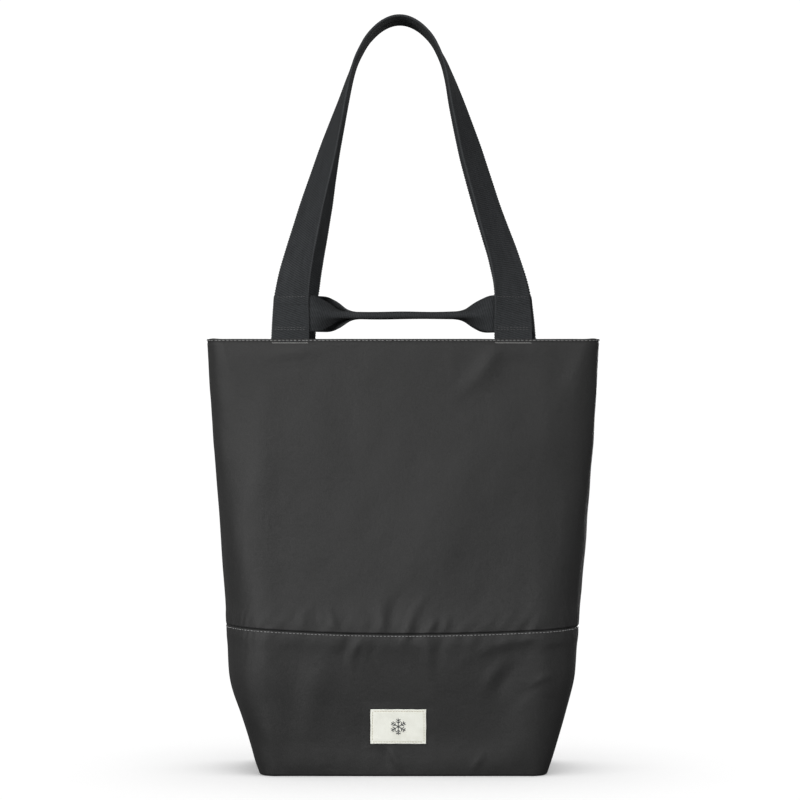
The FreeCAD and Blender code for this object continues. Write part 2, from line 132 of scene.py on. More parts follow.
def new_piece(name, points, quads, uv=None):
    """A smooth quad mesh object from points (n, 3), quads (m, 4) and a UV in metres per point."""
    mesh = bpy.data.meshes.new(name)
    quads = np.ascontiguousarray(quads, dtype=np.int32)
    mesh.vertices.add(len(points))
    mesh.vertices.foreach_set("co", np.ascontiguousarray(points, dtype=np.float32).ravel())
    mesh.loops.add(quads.size)
    mesh.loops.foreach_set("vertex_index", quads.ravel())
    mesh.polygons.add(len(quads))
    mesh.polygons.foreach_set("loop_start", np.arange(0, quads.size, 4, dtype=np.int32))
    mesh.update(calc_edges=True)
    mesh.polygons.foreach_set("use_smooth", np.ones(len(quads), dtype=bool))
    if uv is not None:
        layer = mesh.uv_layers.new(name="cloth")
        layer.data.foreach_set("uv", np.asarray(uv, np.float32)[quads.ravel()].ravel())
    mesh.validate()
    piece = bpy.data.objects.new(name, mesh)
    bpy.context.scene.collection.objects.link(piece)
    return piece


def quads_between(index, after):
    """Quads from the point numbers of a grid and of each point's neighbour in its row."""
    corners = [index[:-1], after[:-1], after[1:], index[1:]]
    return np.stack(corners, axis=-1).reshape(-1, 4)


def ring_quads(rows, sides, start=0):
    """The quads of a tube of points that is stored ring by ring."""
    index = start + np.arange(rows * sides).reshape(rows, sides)
    return quads_between(index, np.roll(index, -1, axis=1))


def grid_normals(grid):
    """Unit normals of a grid of points: across the rows' direction times the columns'."""
    return unit(np.cross(np.gradient(grid, axis=1), np.gradient(grid, axis=0)))


def sheet_solid(name, middle, normal, half, uv=None):
    """A closed sheet: a grid of middle points thickened by half to each side of its normals.
    The UV is the distance along the grid's middle row and column, in metres."""
    rows, columns = middle.shape[:2]
    normal = np.broadcast_to(normal, middle.shape)
    half = np.broadcast_to(half, (rows, columns))[..., None]
    if np.sum(grid_normals(middle) * normal) < 0:
        middle, normal, half = middle[:, ::-1], normal[:, ::-1], half[:, ::-1]
        uv = None if uv is None else uv[:, ::-1]
    if uv is None:
        run = distances(middle[rows // 2]), distances(middle[:, columns // 2])
        uv = np.stack(np.meshgrid(*run), axis=-1)
    outer, inner = middle + normal * half, middle - normal * half
    count = rows * columns
    index = np.arange(count).reshape(rows, columns)
    face = quads_between(index[:, :-1], index[:, 1:])
    loop = np.concatenate([index[0], index[1:, -1], index[-1, -2::-1], index[-2:0:-1, 0]])
    after = np.roll(loop, -1)
    border = np.stack([after, loop, loop + count, after + count], axis=-1)
    quads = np.concatenate([face, count + face[:, ::-1], border])
    points = np.concatenate([outer.reshape(-1, 3), inner.reshape(-1, 3)])
    return new_piece(name, points, quads, np.concatenate([uv.reshape(-1, 2)] * 2))


def tubes(name, runs, radius, sides=6):
    """Closed tubes along several lines. runs is a list of (points, tapers)."""
    turn = np.arange(sides) * 2 * math.pi / sides
    points, quads, start = [], [], 0
    for line, taper in runs:
        along = unit(np.gradient(line, axis=0))
        guide = np.where(np.abs(along[:, 2:3]) < 0.9, [[0, 0, 1.0]], [[0, 1.0, 0]])
        side = unit(np.cross(along, guide))
        lift = np.cross(side, along)
        circle = side[:, None] * np.cos(turn)[None, :, None] + lift[:, None] * np.sin(turn)[None, :, None]
        rings = line[:, None] + circle * radius * np.asarray(taper).reshape(-1, 1, 1)
        first = start + np.arange(sides)
        last = first + (len(line) - 1) * sides
        points.append(rings.reshape(-1, 3))
        quads.append(ring_quads(len(line), sides, start))
        for k in range(1, sides // 2):
            quads.append([
                [first[k], first[k - 1], first[-k], first[-k - 1]],
                [last[k - 1], last[k], last[-k - 1], last[-k]],
            ])
        start += len(line) * sides
    return new_piece(name, np.concatenate(points), np.concatenate(quads))


# --- sewing ---

THREAD = 0.34 * MM


def along_path(points, places):
    """Points at given distances along a dense line, with the line's other columns."""
    run = distances(points[:, :3])
    return np.stack([np.interp(places, run, column) for column in points.T], axis=1)


def landed(pieces, points, normals, reach=14 * MM):
    """Where a line meets the pieces when it is pushed in against its normals."""
    vertices, faces = [], []
    for piece in pieces:
        start = len(vertices)
        vertices += [vertex.co.copy() for vertex in piece.data.vertices]
        faces += [[start + i for i in face.vertices] for face in piece.data.polygons]
    tree = BVHTree.FromPolygons(vertices, faces)
    found = []
    for point, normal in zip(points, normals):
        start = Vector(point + normal * reach)
        place, facing, _, _ = tree.ray_cast(start, Vector(-normal), 3 * reach)
        if place is not None:
            found.append((*place, *(facing if facing.dot(Vector(normal)) > 0 else -facing)))
    found = np.array(found)
    for k in (3, 4, 5):
        padded = np.pad(found[:, k], 2, mode="edge")
        found[:, k] = np.convolve(padded, np.ones(5) / 5, mode="valid")
    return found


def stitch_runs(dense, pitch, long, thread=THREAD, seed=1):
    """Single stitches along a line on a surface: each dips into the cloth at both its ends."""
    rng = np.random.default_rng(seed)
    centres = np.arange(pitch / 2, distances(dense[:, :3])[-1] - pitch / 3, pitch)
    centres = centres + rng.normal(0, 0.04 * pitch, len(centres))
    share = np.linspace(-1, 1, 7)
    runs = []
    for centre in centres:
        here = along_path(dense, centre + share * long * rng.uniform(0.88, 1.08) / 2)
        lift = thread * (0.7 - 1.9 * share**4) + rng.normal(0, 0.05 * thread)
        runs.append((here[:, :3] + here[:, 3:] * lift[:, None], 1 - 0.35 * share**6))
    return runs


def zigzag_run(dense, across, pitch, wide, thread):
    """A bar tack: one thread that crosses a line from side to side."""
    total = distances(dense[:, :3])[-1]
    steps = np.linspace(0, total, int(total / pitch) * 6 + 1)
    here = along_path(dense, steps)
    swing = 2 / math.pi * np.arcsin(np.sin(np.arange(len(steps)) / 6 * math.pi))
    lift = thread * (0.9 - 0.9 * np.abs(swing) ** 6)
    line = here[:, :3] + here[:, 3:] * lift[:, None] + across * (swing * wide / 2)[:, None]
    return [(line, np.ones(len(line)))]


# --- the form of the bag ---

HALF_COLUMNS = 108
FORM_ROWS = 96
# How far the outline's corners are rounded across the bag, by level, in millimetres.
CORNER_AT = np.array([
    (0, 16), (30, 24), (BREAK / MM, 38), (170, 50), (300, 58), (360, 48), (410, 22), (RIM / MM, 14),
]).T * MM
FOOT_ROUND = 2.2 * MM
SWELL_FRAMES = 24
SWELL_CAP = 5.0 * MM
CLOTH = {
    "quality": 5, "mass": 0.25, "tension_stiffness": 25, "compression_stiffness": 25,
    "shear_stiffness": 12, "bending_stiffness": 9, "vertex_group_mass": "sewn",
    "use_pressure": True, "uniform_pressure_force": 1.0, "shrink_min": -0.002,
}


def half_size(z, axis):
    """Half the bag's width (axis 0) or depth (axis 1) at a level: straight from the base to the
    break and from there to the rim, with a rounded break."""
    base, at_break, rim = BASE_HALF[axis], BREAK_HALF[axis], RIM_HALF[axis]
    blur, spare = ((1.3, 0.2), (2.2, 0.6))[axis]
    below = base + z * (at_break - base) / BREAK
    above = at_break + (z - BREAK) * (rim - at_break) / (RIM - BREAK)
    blur = blur * MM
    size = -np.logaddexp(-below / blur, -above / blur) * blur + spare * MM
    return size - 0.9 * MM * bell(z, RIM, 26 * MM) if axis == 0 else size


def settled(x, z, half):
    """A used bag isn't quite even: its sides sit in a little near the cross seam."""
    right = -2.9 * MM * bell(z, 118 * MM, 46 * MM)
    left = -1.2 * MM * bell(z, 82 * MM, 24 * MM)
    share = np.clip(x / half, -1, 1)
    return x + np.where(share > 0, right, left) * np.abs(share) ** 3


def full_loop(z):
    """The bag's outline at each level z: the front half (at -Y) from the left side seam to the
    right, then the rear half back. Gives points (levels, columns, 3)."""
    a, b = half_size(z, 0)[:, None], half_size(z, 1)[:, None]
    wide = np.interp(z, *CORNER_AT)[:, None]
    deep = np.minimum(wide, b * 0.85)
    side = np.linspace(0, 1, 11)[:-1]
    turn = np.linspace(0, math.pi / 2, 41)[:-1]
    face = np.linspace(-1, 1, 101)
    xs = [-a + 0 * side, -(a - wide) - wide * np.cos(turn), (a - wide) * face]
    ys = [-(b - deep) * side, -(b - deep) - deep * np.sin(turn), -b + 0 * face]
    x = np.concatenate(xs + [-xs[1][:, ::-1], -xs[0][:, ::-1]], axis=1)
    y = np.concatenate(ys + [ys[1][:, ::-1], ys[0][:, ::-1]], axis=1)
    even = np.linspace(0, 1, HALF_COLUMNS + 1)
    front = []
    for level, across, back in zip(z, x, y):
        run = distances(np.stack([across, back], axis=-1))
        spots = even * run[-1]
        across, back = np.interp(spots, run, across), np.interp(spots, run, back)
        across = settled(across, level, half_size(level, 0))
        front.append(np.stack([across, back, np.full_like(across, level)], axis=-1))
    front = np.array(front)
    rear = front[:, ::-1] * (1, -1, 1)
    return np.concatenate([front[:, :-1], rear[:, :-1]], axis=1)


def seam_level(x):
    """The cross seam sags a little towards the middle, and climbs more on the left."""
    share = np.clip(np.abs(x) / BREAK_HALF[0], 0, 1)
    climb = np.where(x < 0, 2.4, 1.3) * MM * share**2
    return SEAM + 2.8 * MM - 4.6 * MM * (1 - share**2) + climb


def swell(form):
    """The shell as cloth: it fills out under a light pressure between its sewn edges."""
    rows, columns = form.shape[:2]
    cloth = new_piece("shell_cloth", form.reshape(-1, 3), ring_quads(rows, columns))
    level = form[..., 2].ravel()
    seam = bell(level, seam_level(form[..., 0].ravel()), 5 * MM)
    rim, foot = bell(level, RIM, 9 * MM), bell(level, 0, 6 * MM)
    group = cloth.vertex_groups.new(name="sewn")
    for vertex, weight in enumerate(np.maximum.reduce([0.55 * seam, rim, foot])):
        if weight > 0.02:
            group.add([vertex], float(weight), "REPLACE")
    modifier = cloth.modifiers.new("swell", "CLOTH")
    for setting, value in CLOTH.items():
        setattr(modifier.settings, setting, value)
    modifier.settings.effector_weights.gravity = 0.15
    modifier.point_cache.frame_end = SWELL_FRAMES
    for number in range(1, SWELL_FRAMES + 1):
        bpy.context.scene.frame_set(number)
    shown = cloth.evaluated_get(bpy.context.evaluated_depsgraph_get())
    swollen = np.zeros(rows * columns * 3, np.float32)
    shown.data.vertices.foreach_get("co", swollen)
    bpy.data.objects.remove(cloth)
    bpy.context.scene.frame_set(1)
    moved = evened(swollen.reshape(form.shape).astype(float) - form)
    share = np.abs(form[..., 0]) / half_size(form[..., 2], 0)
    moved[..., 0] *= 1 - 0.95 * smooth((share - 0.55) / 0.35)
    reach = np.linalg.norm(moved, axis=-1, keepdims=True)
    return form + unit(moved) * np.tanh(reach / SWELL_CAP) * SWELL_CAP


def evened(field):
    """Takes the ripples finer than the layers' stiffness out of a looped field."""
    for _ in range(10):
        field = (np.roll(field, 1, axis=1) + 2 * field + np.roll(field, -1, axis=1)) / 4
        inner = (field[:-2] + 2 * field[1:-1] + field[2:]) / 4
        field = np.concatenate([field[:1], inner, field[-1:]])
    return field


def cubic_weights(t):
    """Catmull-Rom weights of the four neighbours of a fraction t."""
    return (
        0.5 * (-t + 2 * t**2 - t**3),
        0.5 * (2 - 5 * t**2 + 3 * t**3),
        0.5 * (t + 4 * t**2 - 3 * t**3),
        0.5 * (-(t**2) + t**3),
    )


def sample(field, column, row):
    """A smooth value of a looped field at fractional columns and rows."""
    rows, columns = field.shape[:2]
    c0, r0 = np.floor(column).astype(int), np.floor(row).astype(int)
    across, up = cubic_weights(column - c0), cubic_weights(row - r0)
    total = 0
    for i in range(4):
        rr = np.clip(r0 + i - 1, 0, rows - 1)
        line = sum(field[rr, (c0 + j - 1) % columns] * across[j][..., None] for j in range(4))
        total = total + line * up[i][..., None]
    return total


# Soft folds on each side: place in X and Z, heading in degrees, length, width and height, in
# millimetres. A negative height is a crease.
FOLDS = {
    "front": (
        (-47, 127, 64, 12, 5, 1.1), (-58, 125, 78, 12, 5, -0.8), (-36, 126, 84, 16, 5, 0.5),
        (-70, 152, 112, 12, 5, 0.9), (-99, 154, 100, 9, 5, 0.7), (-86, 153, 100, 9, 4, -0.5),
        (-21, 155, 100, 16, 6, 0.8), (-10, 162, 70, 20, 6, -0.6), (7, 153, 66, 22, 5, 1.1),
        (29, 149, 60, 8, 4, 0.7), (42, 150, 70, 8, 4, 0.7), (24, 122, 92, 24, 6, 0.9),
        (36, 128, 80, 12, 5, -0.6), (108, 133, 12, 40, 6, 1.0), (134, 94, 30, 14, 4, 0.9),
        (126, 87, 34, 16, 5, -0.8), (88, 100, 55, 16, 6, 0.9), (98, 92, 60, 16, 6, -0.8),
        (147, 131, 8, 12, 3, 0.6), (72, 12, 62, 12, 4, 0.8), (-8, 17, 116, 16, 4, 0.9),
        (-18, 20, 112, 16, 5, -0.6), (-92, 66, 86, 44, 14, 1.5), (-124, 92, 122, 30, 9, 0.9),
        (82, 404, 233, 36, 9, 1.3), (-108, 421, 4, 24, 7, 1.0), (112, 420, 176, 24, 7, 0.7),
        (-150, 280, 84, 90, 20, 1.4), (150, 250, 97, 110, 22, -1.1), (44, 262, 76, 110, 34, 1.2),
        (-52, 330, 104, 70, 24, -0.8),
    ),
    "rear": (
        (60, 150, 118, 14, 5, 1.0), (48, 156, 110, 14, 5, -0.7), (-30, 124, 60, 14, 5, 0.9),
        (-90, 154, 66, 14, 5, 0.9), (20, 126, 96, 18, 6, 0.7), (-110, 132, 168, 36, 6, 0.9),
        (118, 96, 148, 16, 5, 0.9), (-128, 96, 40, 16, 5, 0.8), (-70, 24, 64, 16, 5, 0.7),
        (96, 60, 94, 44, 14, 1.3), (0, 330, 84, 90, 30, 1.2), (-140, 260, 94, 110, 22, 1.2),
        (138, 240, 84, 120, 22, -1.0),
    ),
}


def fold(x, z, at_x, at_z, heading, long, wide, high):
    """One soft ridge on a panel, bowed a little."""
    turn = math.radians(heading)
    along = (x - at_x * MM) * math.cos(turn) + (z - at_z * MM) * math.sin(turn)
    across = -(x - at_x * MM) * math.sin(turn) + (z - at_z * MM) * math.cos(turn)
    across = across + 0.12 * along**2 / (long * MM)
    return high * MM * bell(along, 0, long * MM) * bell(across, 0, wide * MM)


def relief(side, point):
    """How far the cloth stands out from the swollen form, at points on one half of the bag."""
    sign = SIDES[side]
    x, y, z = np.moveaxis(point, -1, 0)
    facing = np.clip(np.abs(y) / (0.72 * half_size(z, 1)), 0, 1) ** 2
    lift = 1.4 * sum(fold(x, z, *shape) for shape in FOLDS[side]) * facing
    run = x + sign * 3 * y
    lift += 0.45 * MM * waves(run, z, 11 + sign, 90, 190)
    lift += 0.14 * MM * waves(run, z, 23 + sign, 28, 60)
    # Ripples beside the cross seam, the rim and the foot: height, how far the ripples keep going
    # up, seed, wavelengths, distance from the edge, and reach.
    for high, upright, seed, shortest, longest, away, reach in (
        (0.36, 0.35, 37, 9, 22, z - seam_level(x), 13),
        (0.10, 0.2, 41, 8, 20, z - RIM, 10),
        (0.25, 0.3, 47, 12, 26, z - 4 * MM, 12),
    ):
        ripple = waves(run, z * upright, seed + sign, shortest, longest)
        lift += high * MM * np.exp(-np.abs(away) / (reach * MM)) * ripple
    if side == "front":
        middle, half = (PATCH_LOW + PATCH_HIGH) / 2, (PATCH_HIGH - PATCH_LOW) / 2
        beside = np.maximum(np.abs(x - middle[0]) - half[0], np.abs(z - middle[2]) - half[2])
        lift = lift * smooth(np.where(y < 0, beside, 1.0) / (9 * MM))
    lift = lift * np.clip(z / (12 * MM), 0, 1) * np.clip((RIM - z) / (14 * MM), 0.25, 1)
    foot = np.clip((FOOT_ROUND - z) / FOOT_ROUND, 0, 1)
    return lift - 0.55 * MM * bell(y, 0, 1.1 * MM) - FOOT_ROUND * (1 - np.sqrt(1 - foot**2))


FORM = full_loop(np.linspace(0, RIM, FORM_ROWS))
FORM = swell(FORM)


def shell_points(side, column, level):
    """Points of the outer surface and its outward normals. Column 0 is the left side seam and 1
    the right one."""
    column, level = np.broadcast_arrays(column, level)
    half = FORM.shape[1] // 2
    place = column * half if side == "front" else (2 - column) * half
    per_metre = (FORM_ROWS - 1) / RIM
    point = sample(FORM, place, level * per_metre)
    ahead = sample(FORM, place + 0.4, level * per_metre)
    above = sample(FORM, place, (level + 2 * MM) * per_metre)
    under = sample(FORM, place, (level - 2 * MM) * per_metre)
    normal = unit(np.cross(ahead - point, above - under))
    return point + normal * relief(side, point)[..., None], normal


# --- panels ---

FACE_DETAIL = 3
BESIDE_SEAM = np.array([0.0004, 0.0009, 0.0016, 0.0026])
# Fractions along half the outline, closer together beside the two side seams.
COLUMNS = np.unique(np.concatenate([
    np.linspace(0, 1, HALF_COLUMNS * FACE_DETAIL + 1), BESIDE_SEAM, 1 - BESIDE_SEAM,
]))
SKIN = 1.0 * MM
SEAM_ROW = 2.0 * MM
HEM_ROW = 1.9 * MM
HEM_GROOVE = 3.2 * MM
HEM_FOLD = 3.2 * MM
HEM_TALL = 24 * MM


def column_at(side, x, level):
    """The column fractions at which one half's surface has given X at a level."""
    line = shell_points(side, COLUMNS, level)[0][:, 0]
    order = np.argsort(line)
    return np.interp(x, line[order], COLUMNS[order])


def graded(coarse, fine, reach_low, reach_high):
    """Fractions from 0 to 1 that are fine near both ends and coarse between them."""
    levels = [0.0]
    while levels[-1] < 1:
        near = min(levels[-1] / reach_low, (1 - levels[-1]) / reach_high)
        levels.append(levels[-1] + fine + (coarse - fine) * np.clip(near, 0, 1))
    return np.array(levels)[:, None] / levels[-1]


def seam_profile(below):
    """The relief beside the cross seam, by distance under it: a crease, a ridge and a stitch row."""
    d = np.abs(below)
    crease = -1.1 * MM * bell(d, 0, 0.75 * MM)
    puff = 0.5 * MM * bell(d, 9 * MM, 7 * MM)
    if np.mean(below) < 0:
        return crease + puff * 0.6
    ridge = 0.35 * MM * (bell(d, 1.2 * MM, 0.6 * MM) - bell(d, SEAM_ROW, 0.6 * MM))
    return crease + ridge + puff


def hem_profile(under):
    """The relief under the rim: a lip, then the groove that its topstitching pulls in."""
    lip = 0.25 * MM * bell(under, 0.9 * MM, 0.8 * MM)
    row = -0.30 * MM * bell(under, HEM_ROW, 0.6 * MM)
    return lip + row - 1.2 * MM * bell(under, HEM_GROOVE, 0.8 * MM)


def strap_span(x, side):
    """1 where a strap passes through the hem, 0 elsewhere, with a short ramp."""
    inside = np.zeros_like(x)
    for hand in HANDS:
        low, high = node_box(f"{side}_strap_foot_{hand}")
        past = np.abs(x - (low[0] + high[0]) / 2) - (high[0] - low[0]) / 2
        inside = np.maximum(inside, 1 / (1 + np.exp((past - 1.2 * MM) / (0.5 * MM))))
    return inside


def make_outer(side):
    """The upper and lower outer panels of one half: pieces with their middle grids."""
    line = shell_points(side, COLUMNS, SEAM)[0]
    seam = seam_level(line[:, 0])
    shallow = 1 - 0.85 * bell(line[:, 1], 0, 15 * MM)
    levels = {
        "upper": seam + (RIM - seam) * graded(3.0 / 291, 0.35 / 291, 0.05, 0.04),
        "lower": seam * graded(2.8 / 142, 0.4 / 142, 0.07, 0.08),
    }
    pieces = {}
    for part, level in levels.items():
        point, normal = shell_points(side, COLUMNS, level)
        point = point + normal * (seam_profile(seam - level) * shallow)[..., None]
        thick = np.full(level.shape, SKIN)
        shaped = thick
        if part == "upper":
            beside = 1 - 0.85 * bell(point[..., 1], 0, 10 * MM)
            point = point + normal * (hem_profile(RIM - level) * beside)[..., None]
            hem = np.clip((level - RIM + HEM_TALL) / (3 * MM), 0, 1)
            spare = (HEM_FOLD - SKIN) * (1 - strap_span(point[..., 0], side))
            facing = np.clip(np.abs(point[..., 1]) / (0.8 * RIM_HALF[1]), 0, 1) ** 2
            thick = thick + hem * spare * facing
            round_off = np.clip(1 - (RIM - level) / (thick.max(axis=0) / 2), 0, 1)
            shaped = thick * np.clip(np.sqrt(1 - round_off**2), 0.12, 1)
        outward = -SIDES[side] * grid_normals(point)
        middle = point - outward * (thick / 2)[..., None]
        piece = sheet_solid(f"{side}_{part}_panel", middle, outward, shaped / 2)
        pieces[part] = (piece, middle)
    return pieces


def wall_layer(name, side, depth, thick, low, high, rows, seed, rough=0.0, detail=2):
    """A layer of the wall whose outer face is at a depth under the bag's outer surface."""
    column = np.linspace(0, 1, HALF_COLUMNS * detail + 1)
    grid, normal = shell_points(side, column, np.linspace(low, high, rows)[:, None])
    grid = grid - normal * (depth + thick / 2)
    crumple = waves(grid[..., 0] + 2 * grid[..., 1], grid[..., 2], seed, 14, 60)
    grid = grid - normal * np.abs(rough * crumple)[..., None]
    edge = np.minimum(np.arange(rows), np.arange(rows)[::-1])
    half = thick / 2 * np.interp(edge, [0, 1, 2], [0.45, 0.85, 1.0])
    return sheet_solid(name, grid, normal, half[:, None]), grid


def floor_plate(name, half, low, high, radius, seed, rough):
    """A flat layer with rounded corners, a little uneven."""
    u, v = np.linspace(-1, 1, 97), np.linspace(-1, 1, 49)[:, None]
    past = np.clip(np.abs(half[1] * v) - (half[1] - radius), 0, radius)
    x = (half[0] - radius + np.sqrt(radius**2 - past**2)) * u
    y = np.broadcast_to(half[1] * v, x.shape)
    z = (low + high) / 2 + rough * waves(x, y, seed, 25, 80)
    edge = np.minimum(1 - np.abs(u), 1 - np.abs(v))
    thick = (high - low) * np.interp(edge, [0, 0.02], [0.6, 1.0])
    return sheet_solid(name, np.stack([x, y, z], axis=-1), (0, 0, 1), thick / 2)


# --- straps ---

WEB_WIDE = 38.0 * MM
WEB_THICK = 2.2 * MM
STRAP_DEPTH = 17.3 * MM
STRAP_IN_WALL = 2.25 * MM
STRAP_STEP = 0.65 * MM
FOLD_AXIS = JOINTS["front_strap_fold"][2]
APEX = node_box("front_strap_loop")[1][2] - WEB_THICK / 2
APEX_GAP = 0.4 * MM
ODD = {"mode": "reflect", "reflect_type": "odd"}

# Half the reach of each strap across the bag, by its rise over the rim, in millimetres.
STRAP_STATIONS = {
    "front": (
        (0, 112), (40, 111), (65, 107.4), (90, 101), (115, 93.6), (140, 86.4), (190, 71.8),
        (240, 57.4), (262, 51.2), (282, 44.4), (302, 33.5),
    ),
    "rear": (
        (0, 112), (40, 108.5), (65, 103.6), (90, 97.2), (115, 90), (140, 83), (190, 71.0),
        (240, 57.0), (262, 51.0), (282, 44.4), (302, 33.5),
    ),
}
# Each strap leans over a little: its shift at the feet and at the top, and where it changes.
LEANS = {"front": (-1.6, -3.7, 60, 140), "rear": (3.7, -3.4, 50, 210)}
# The quarter turn of the left (-1) and right leg in degrees, by its rise over the rim.
TWISTS = {
    -1: ((0, 0), (39, 22), (89, 40), (139, 52), (189, 62), (214, 70), (240, 79), (275, 88), (305, 90)),
    1: ((0, 0), (39, 21), (64, 32), (89, 40), (139, 50), (189, 55), (240, 70), (270, 82), (300, 90)),
}


def through(points, step):
    """An even line through points: straight between them, then relaxed into a curve."""
    points = np.asarray(points, float)
    run = distances(points)
    even = np.linspace(0, run[-1], int(run[-1] / step) + 1)
    columns = [np.interp(even, run, column) for column in points.T]
    for _ in range(3):
        columns = [blurred(column, int(9 * MM / step), **ODD) for column in columns]
    return np.stack(columns, axis=1)


def strap_twist(rise, hand):
    """How far a leg has turned at a rise over the rim: none at the hem, a quarter on top."""
    rises, degrees = zip(*TWISTS[hand])
    even = np.linspace(0, 305 * MM, 306)
    turned = blurred(np.interp(even, np.array(rises) * MM, degrees), 16, **ODD)
    return np.radians(np.clip(np.interp(rise, even, turned), 0, 90))


def strap_centre(side):
    """The middle of a strap's reach at its feet."""
    left, right = node_box(f"{side}_strap_foot_left"), node_box(f"{side}_strap_foot_right")
    return (left[0][0] + right[1][0]) / 2


def strap_path(side):
    """A whole strap from tail to tail: centre line and width direction."""
    sign = SIDES[side]
    top = APEX - RIM
    half = [(-reach * MM, rise * MM) for rise, reach in STRAP_STATIONS[side]]
    half += [(-21 * MM, top - 7.0 * MM), (-9 * MM, top - 0.4 * MM), (0, top + 0.9 * MM)]
    flat = through(half + [(-x, rise) for x, rise in half[-2::-1]], STRAP_STEP)
    x, rise = flat[:, 0], flat[:, 1]
    twist = np.where(x < 0, strap_twist(rise, -1), strap_twist(rise, 1))
    depth = STRAP_DEPTH + twist / (math.pi / 2) * (WEB_WIDE / 2 + APEX_GAP - STRAP_DEPTH)
    foot, over, begun, done = np.array(LEANS[side]) * MM
    lean = foot + (over - foot) * smooth((rise - begun) / (done - begun))
    line = np.stack([x + lean, sign * depth, RIM + rise], axis=1)
    tail_low = node_box(f"{side}_strap_tail_left")[0][2]
    count = int((RIM - tail_low) / STRAP_STEP)
    tails = []
    for place in (line[0], line[-1]):
        tail = np.repeat(place[None, :], count, axis=0)
        tail[:, 2] = np.linspace(tail_low, RIM - STRAP_STEP, count)
        skin, _ = shell_points(side, column_at(side, place[0], RIM - 10 * MM), tail[:, 2])
        tail[:, 1] = sign * (np.abs(skin[:, 1]) - STRAP_IN_WALL)
        tails.append(tail)
    line = np.concatenate([tails[0], line, tails[1][::-1]])
    for _ in range(2):
        line[3:-3] = sum(line[3 + k:len(line) - 3 + k] for k in range(-3, 4)) / 7
    twist = np.pad(twist, count)[:, None]
    flat = unit(np.cross([0, 1, 0], unit(np.gradient(line, axis=0))))
    return line, flat * np.cos(twist) + np.array([0, sign, 0]) * np.sin(twist)


def webbing(name, line, across, seed, start):
    """Woven webbing along a line: crowned, with a thicker serrated selvedge on both edges."""
    along = unit(np.gradient(line, axis=0))
    across = unit(across - along * np.sum(across * along, axis=1, keepdims=True))
    normal = np.cross(along, across)[:, None]
    run = distances(line) + start
    t = np.linspace(-1, 1, 31)
    t = np.sign(t) * (1 - (1 - np.abs(t)) ** 1.5)
    teeth = 0.95 * MM * np.abs(np.sin(math.pi * run / (2.6 * MM))) - 0.6 * MM
    wander = 0.12 * MM * waves(run, 0 * run, seed, 30, 90)
    left = -(WEB_WIDE / 2 + teeth) + wander
    right = WEB_WIDE / 2 + teeth[::-1] + wander
    offset = left[:, None] * (1 - t) / 2 + right[:, None] * (1 + t) / 2
    cup = 0.35 * MM * (1 - t**2) * waves(run, 0 * run, seed + 5, 60, 160)[:, None]
    middle = line[:, None] + across[:, None] * offset[..., None] + normal * cup[..., None]
    edge = WEB_WIDE / 2 * (1 - np.abs(t))
    selvedge = 1 + 0.16 * bell(edge, 1.6 * MM, 1.1 * MM) - 0.10 * bell(edge, 3.6 * MM, 0.6 * MM)
    half = WEB_THICK / 2 * 0.93 * round_rim(edge, WEB_THICK, 0.04) * selvedge
    uv = np.stack(np.broadcast_arrays(offset + WEB_WIDE / 2, run[:, None]), axis=-1)
    return sheet_solid(name, middle, -normal, half, uv)


def make_strap(side):
    """One strap, split where the grab handle is sewn on: two tails with feet, and the loop."""
    line, across = strap_path(side)
    above = np.nonzero(line[:, 2] > FOLD_AXIS - 14 * MM)[0]
    spans = {
        "tail_left": slice(0, above[0] + 1),
        "loop": slice(above[0], above[-1] + 1),
        "tail_right": slice(above[-1], len(line)),
    }
    step = np.linalg.norm(line[1] - line[0])
    made = []
    for part, span in spans.items():
        piece = webbing(f"{side}_strap_{part}", line[span], across[span], 5 + SIDES[side],
                        span.start * step)
        if part == "loop":
            nodes = [f"{side}_strap_loop"]
            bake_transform(piece)
        else:
            hand = part.split("_")[1]
            nodes = [f"{side}_strap_foot_{hand}", f"{side}_strap_tail_{hand}"]
            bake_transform(piece)
        made.append(settle(piece, "webbing", None, nodes))
    return made


# --- grab handles ---

NOSE_TURN = 2.5 * MM
CURL_WIDE = 5.0 * MM
# How far the webbing is rolled, 0 flat and 1 a tube, by its distance in from a strap.
ROLL_AT = ((0, 0.03), (5, 0.10), (10, 0.24), (15, 0.42), (21, 0.64), (27, 0.84), (33, 0.95), (41, 1.0))
HANDLE_THICK = 1.9 * MM
HANDLE_HALF = 18.4 * MM
HANDLE_COLUMNS = 41
# How much later the lower and upper edges begin to roll.
ROLL_LATE = {"front": (0.5 * MM, 0.0), "rear": (7.5 * MM, 4.0 * MM)}


def roll_at(inward, late):
    knots, rolls = zip(*ROLL_AT)
    inward = inward - late * smooth(inward / (12 * MM))
    return blurred(np.interp(inward, np.array(knots) * MM, rolls), 7, mode="edge")


def roll_section(roll_under, roll_over):
    """A cross section of webbing that is rolled by some share below and above its middle.
    Gives its depth behind the front face and its height."""
    w = np.linspace(-HANDLE_HALF, HANDLE_HALF, HANDLE_COLUMNS)
    roll = np.where(w < 0, roll_under, roll_over)
    bend = np.clip(np.abs(w) / (math.pi / 2 * NOSE_TURN), 0, 1) * math.pi / 2
    curl = np.clip((np.abs(w) - HANDLE_HALF + CURL_WIDE) / CURL_WIDE, 0, 1) * 0.75
    angle = np.sign(w) * roll * (bend + curl * roll)
    height = np.cumsum(np.cos(angle)) * (w[1] - w[0])
    depth = np.cumsum(np.sin(angle)) * (w[1] - w[0])
    centre = HANDLE_COLUMNS // 2
    return np.abs(depth - depth[centre]), height - height[centre]


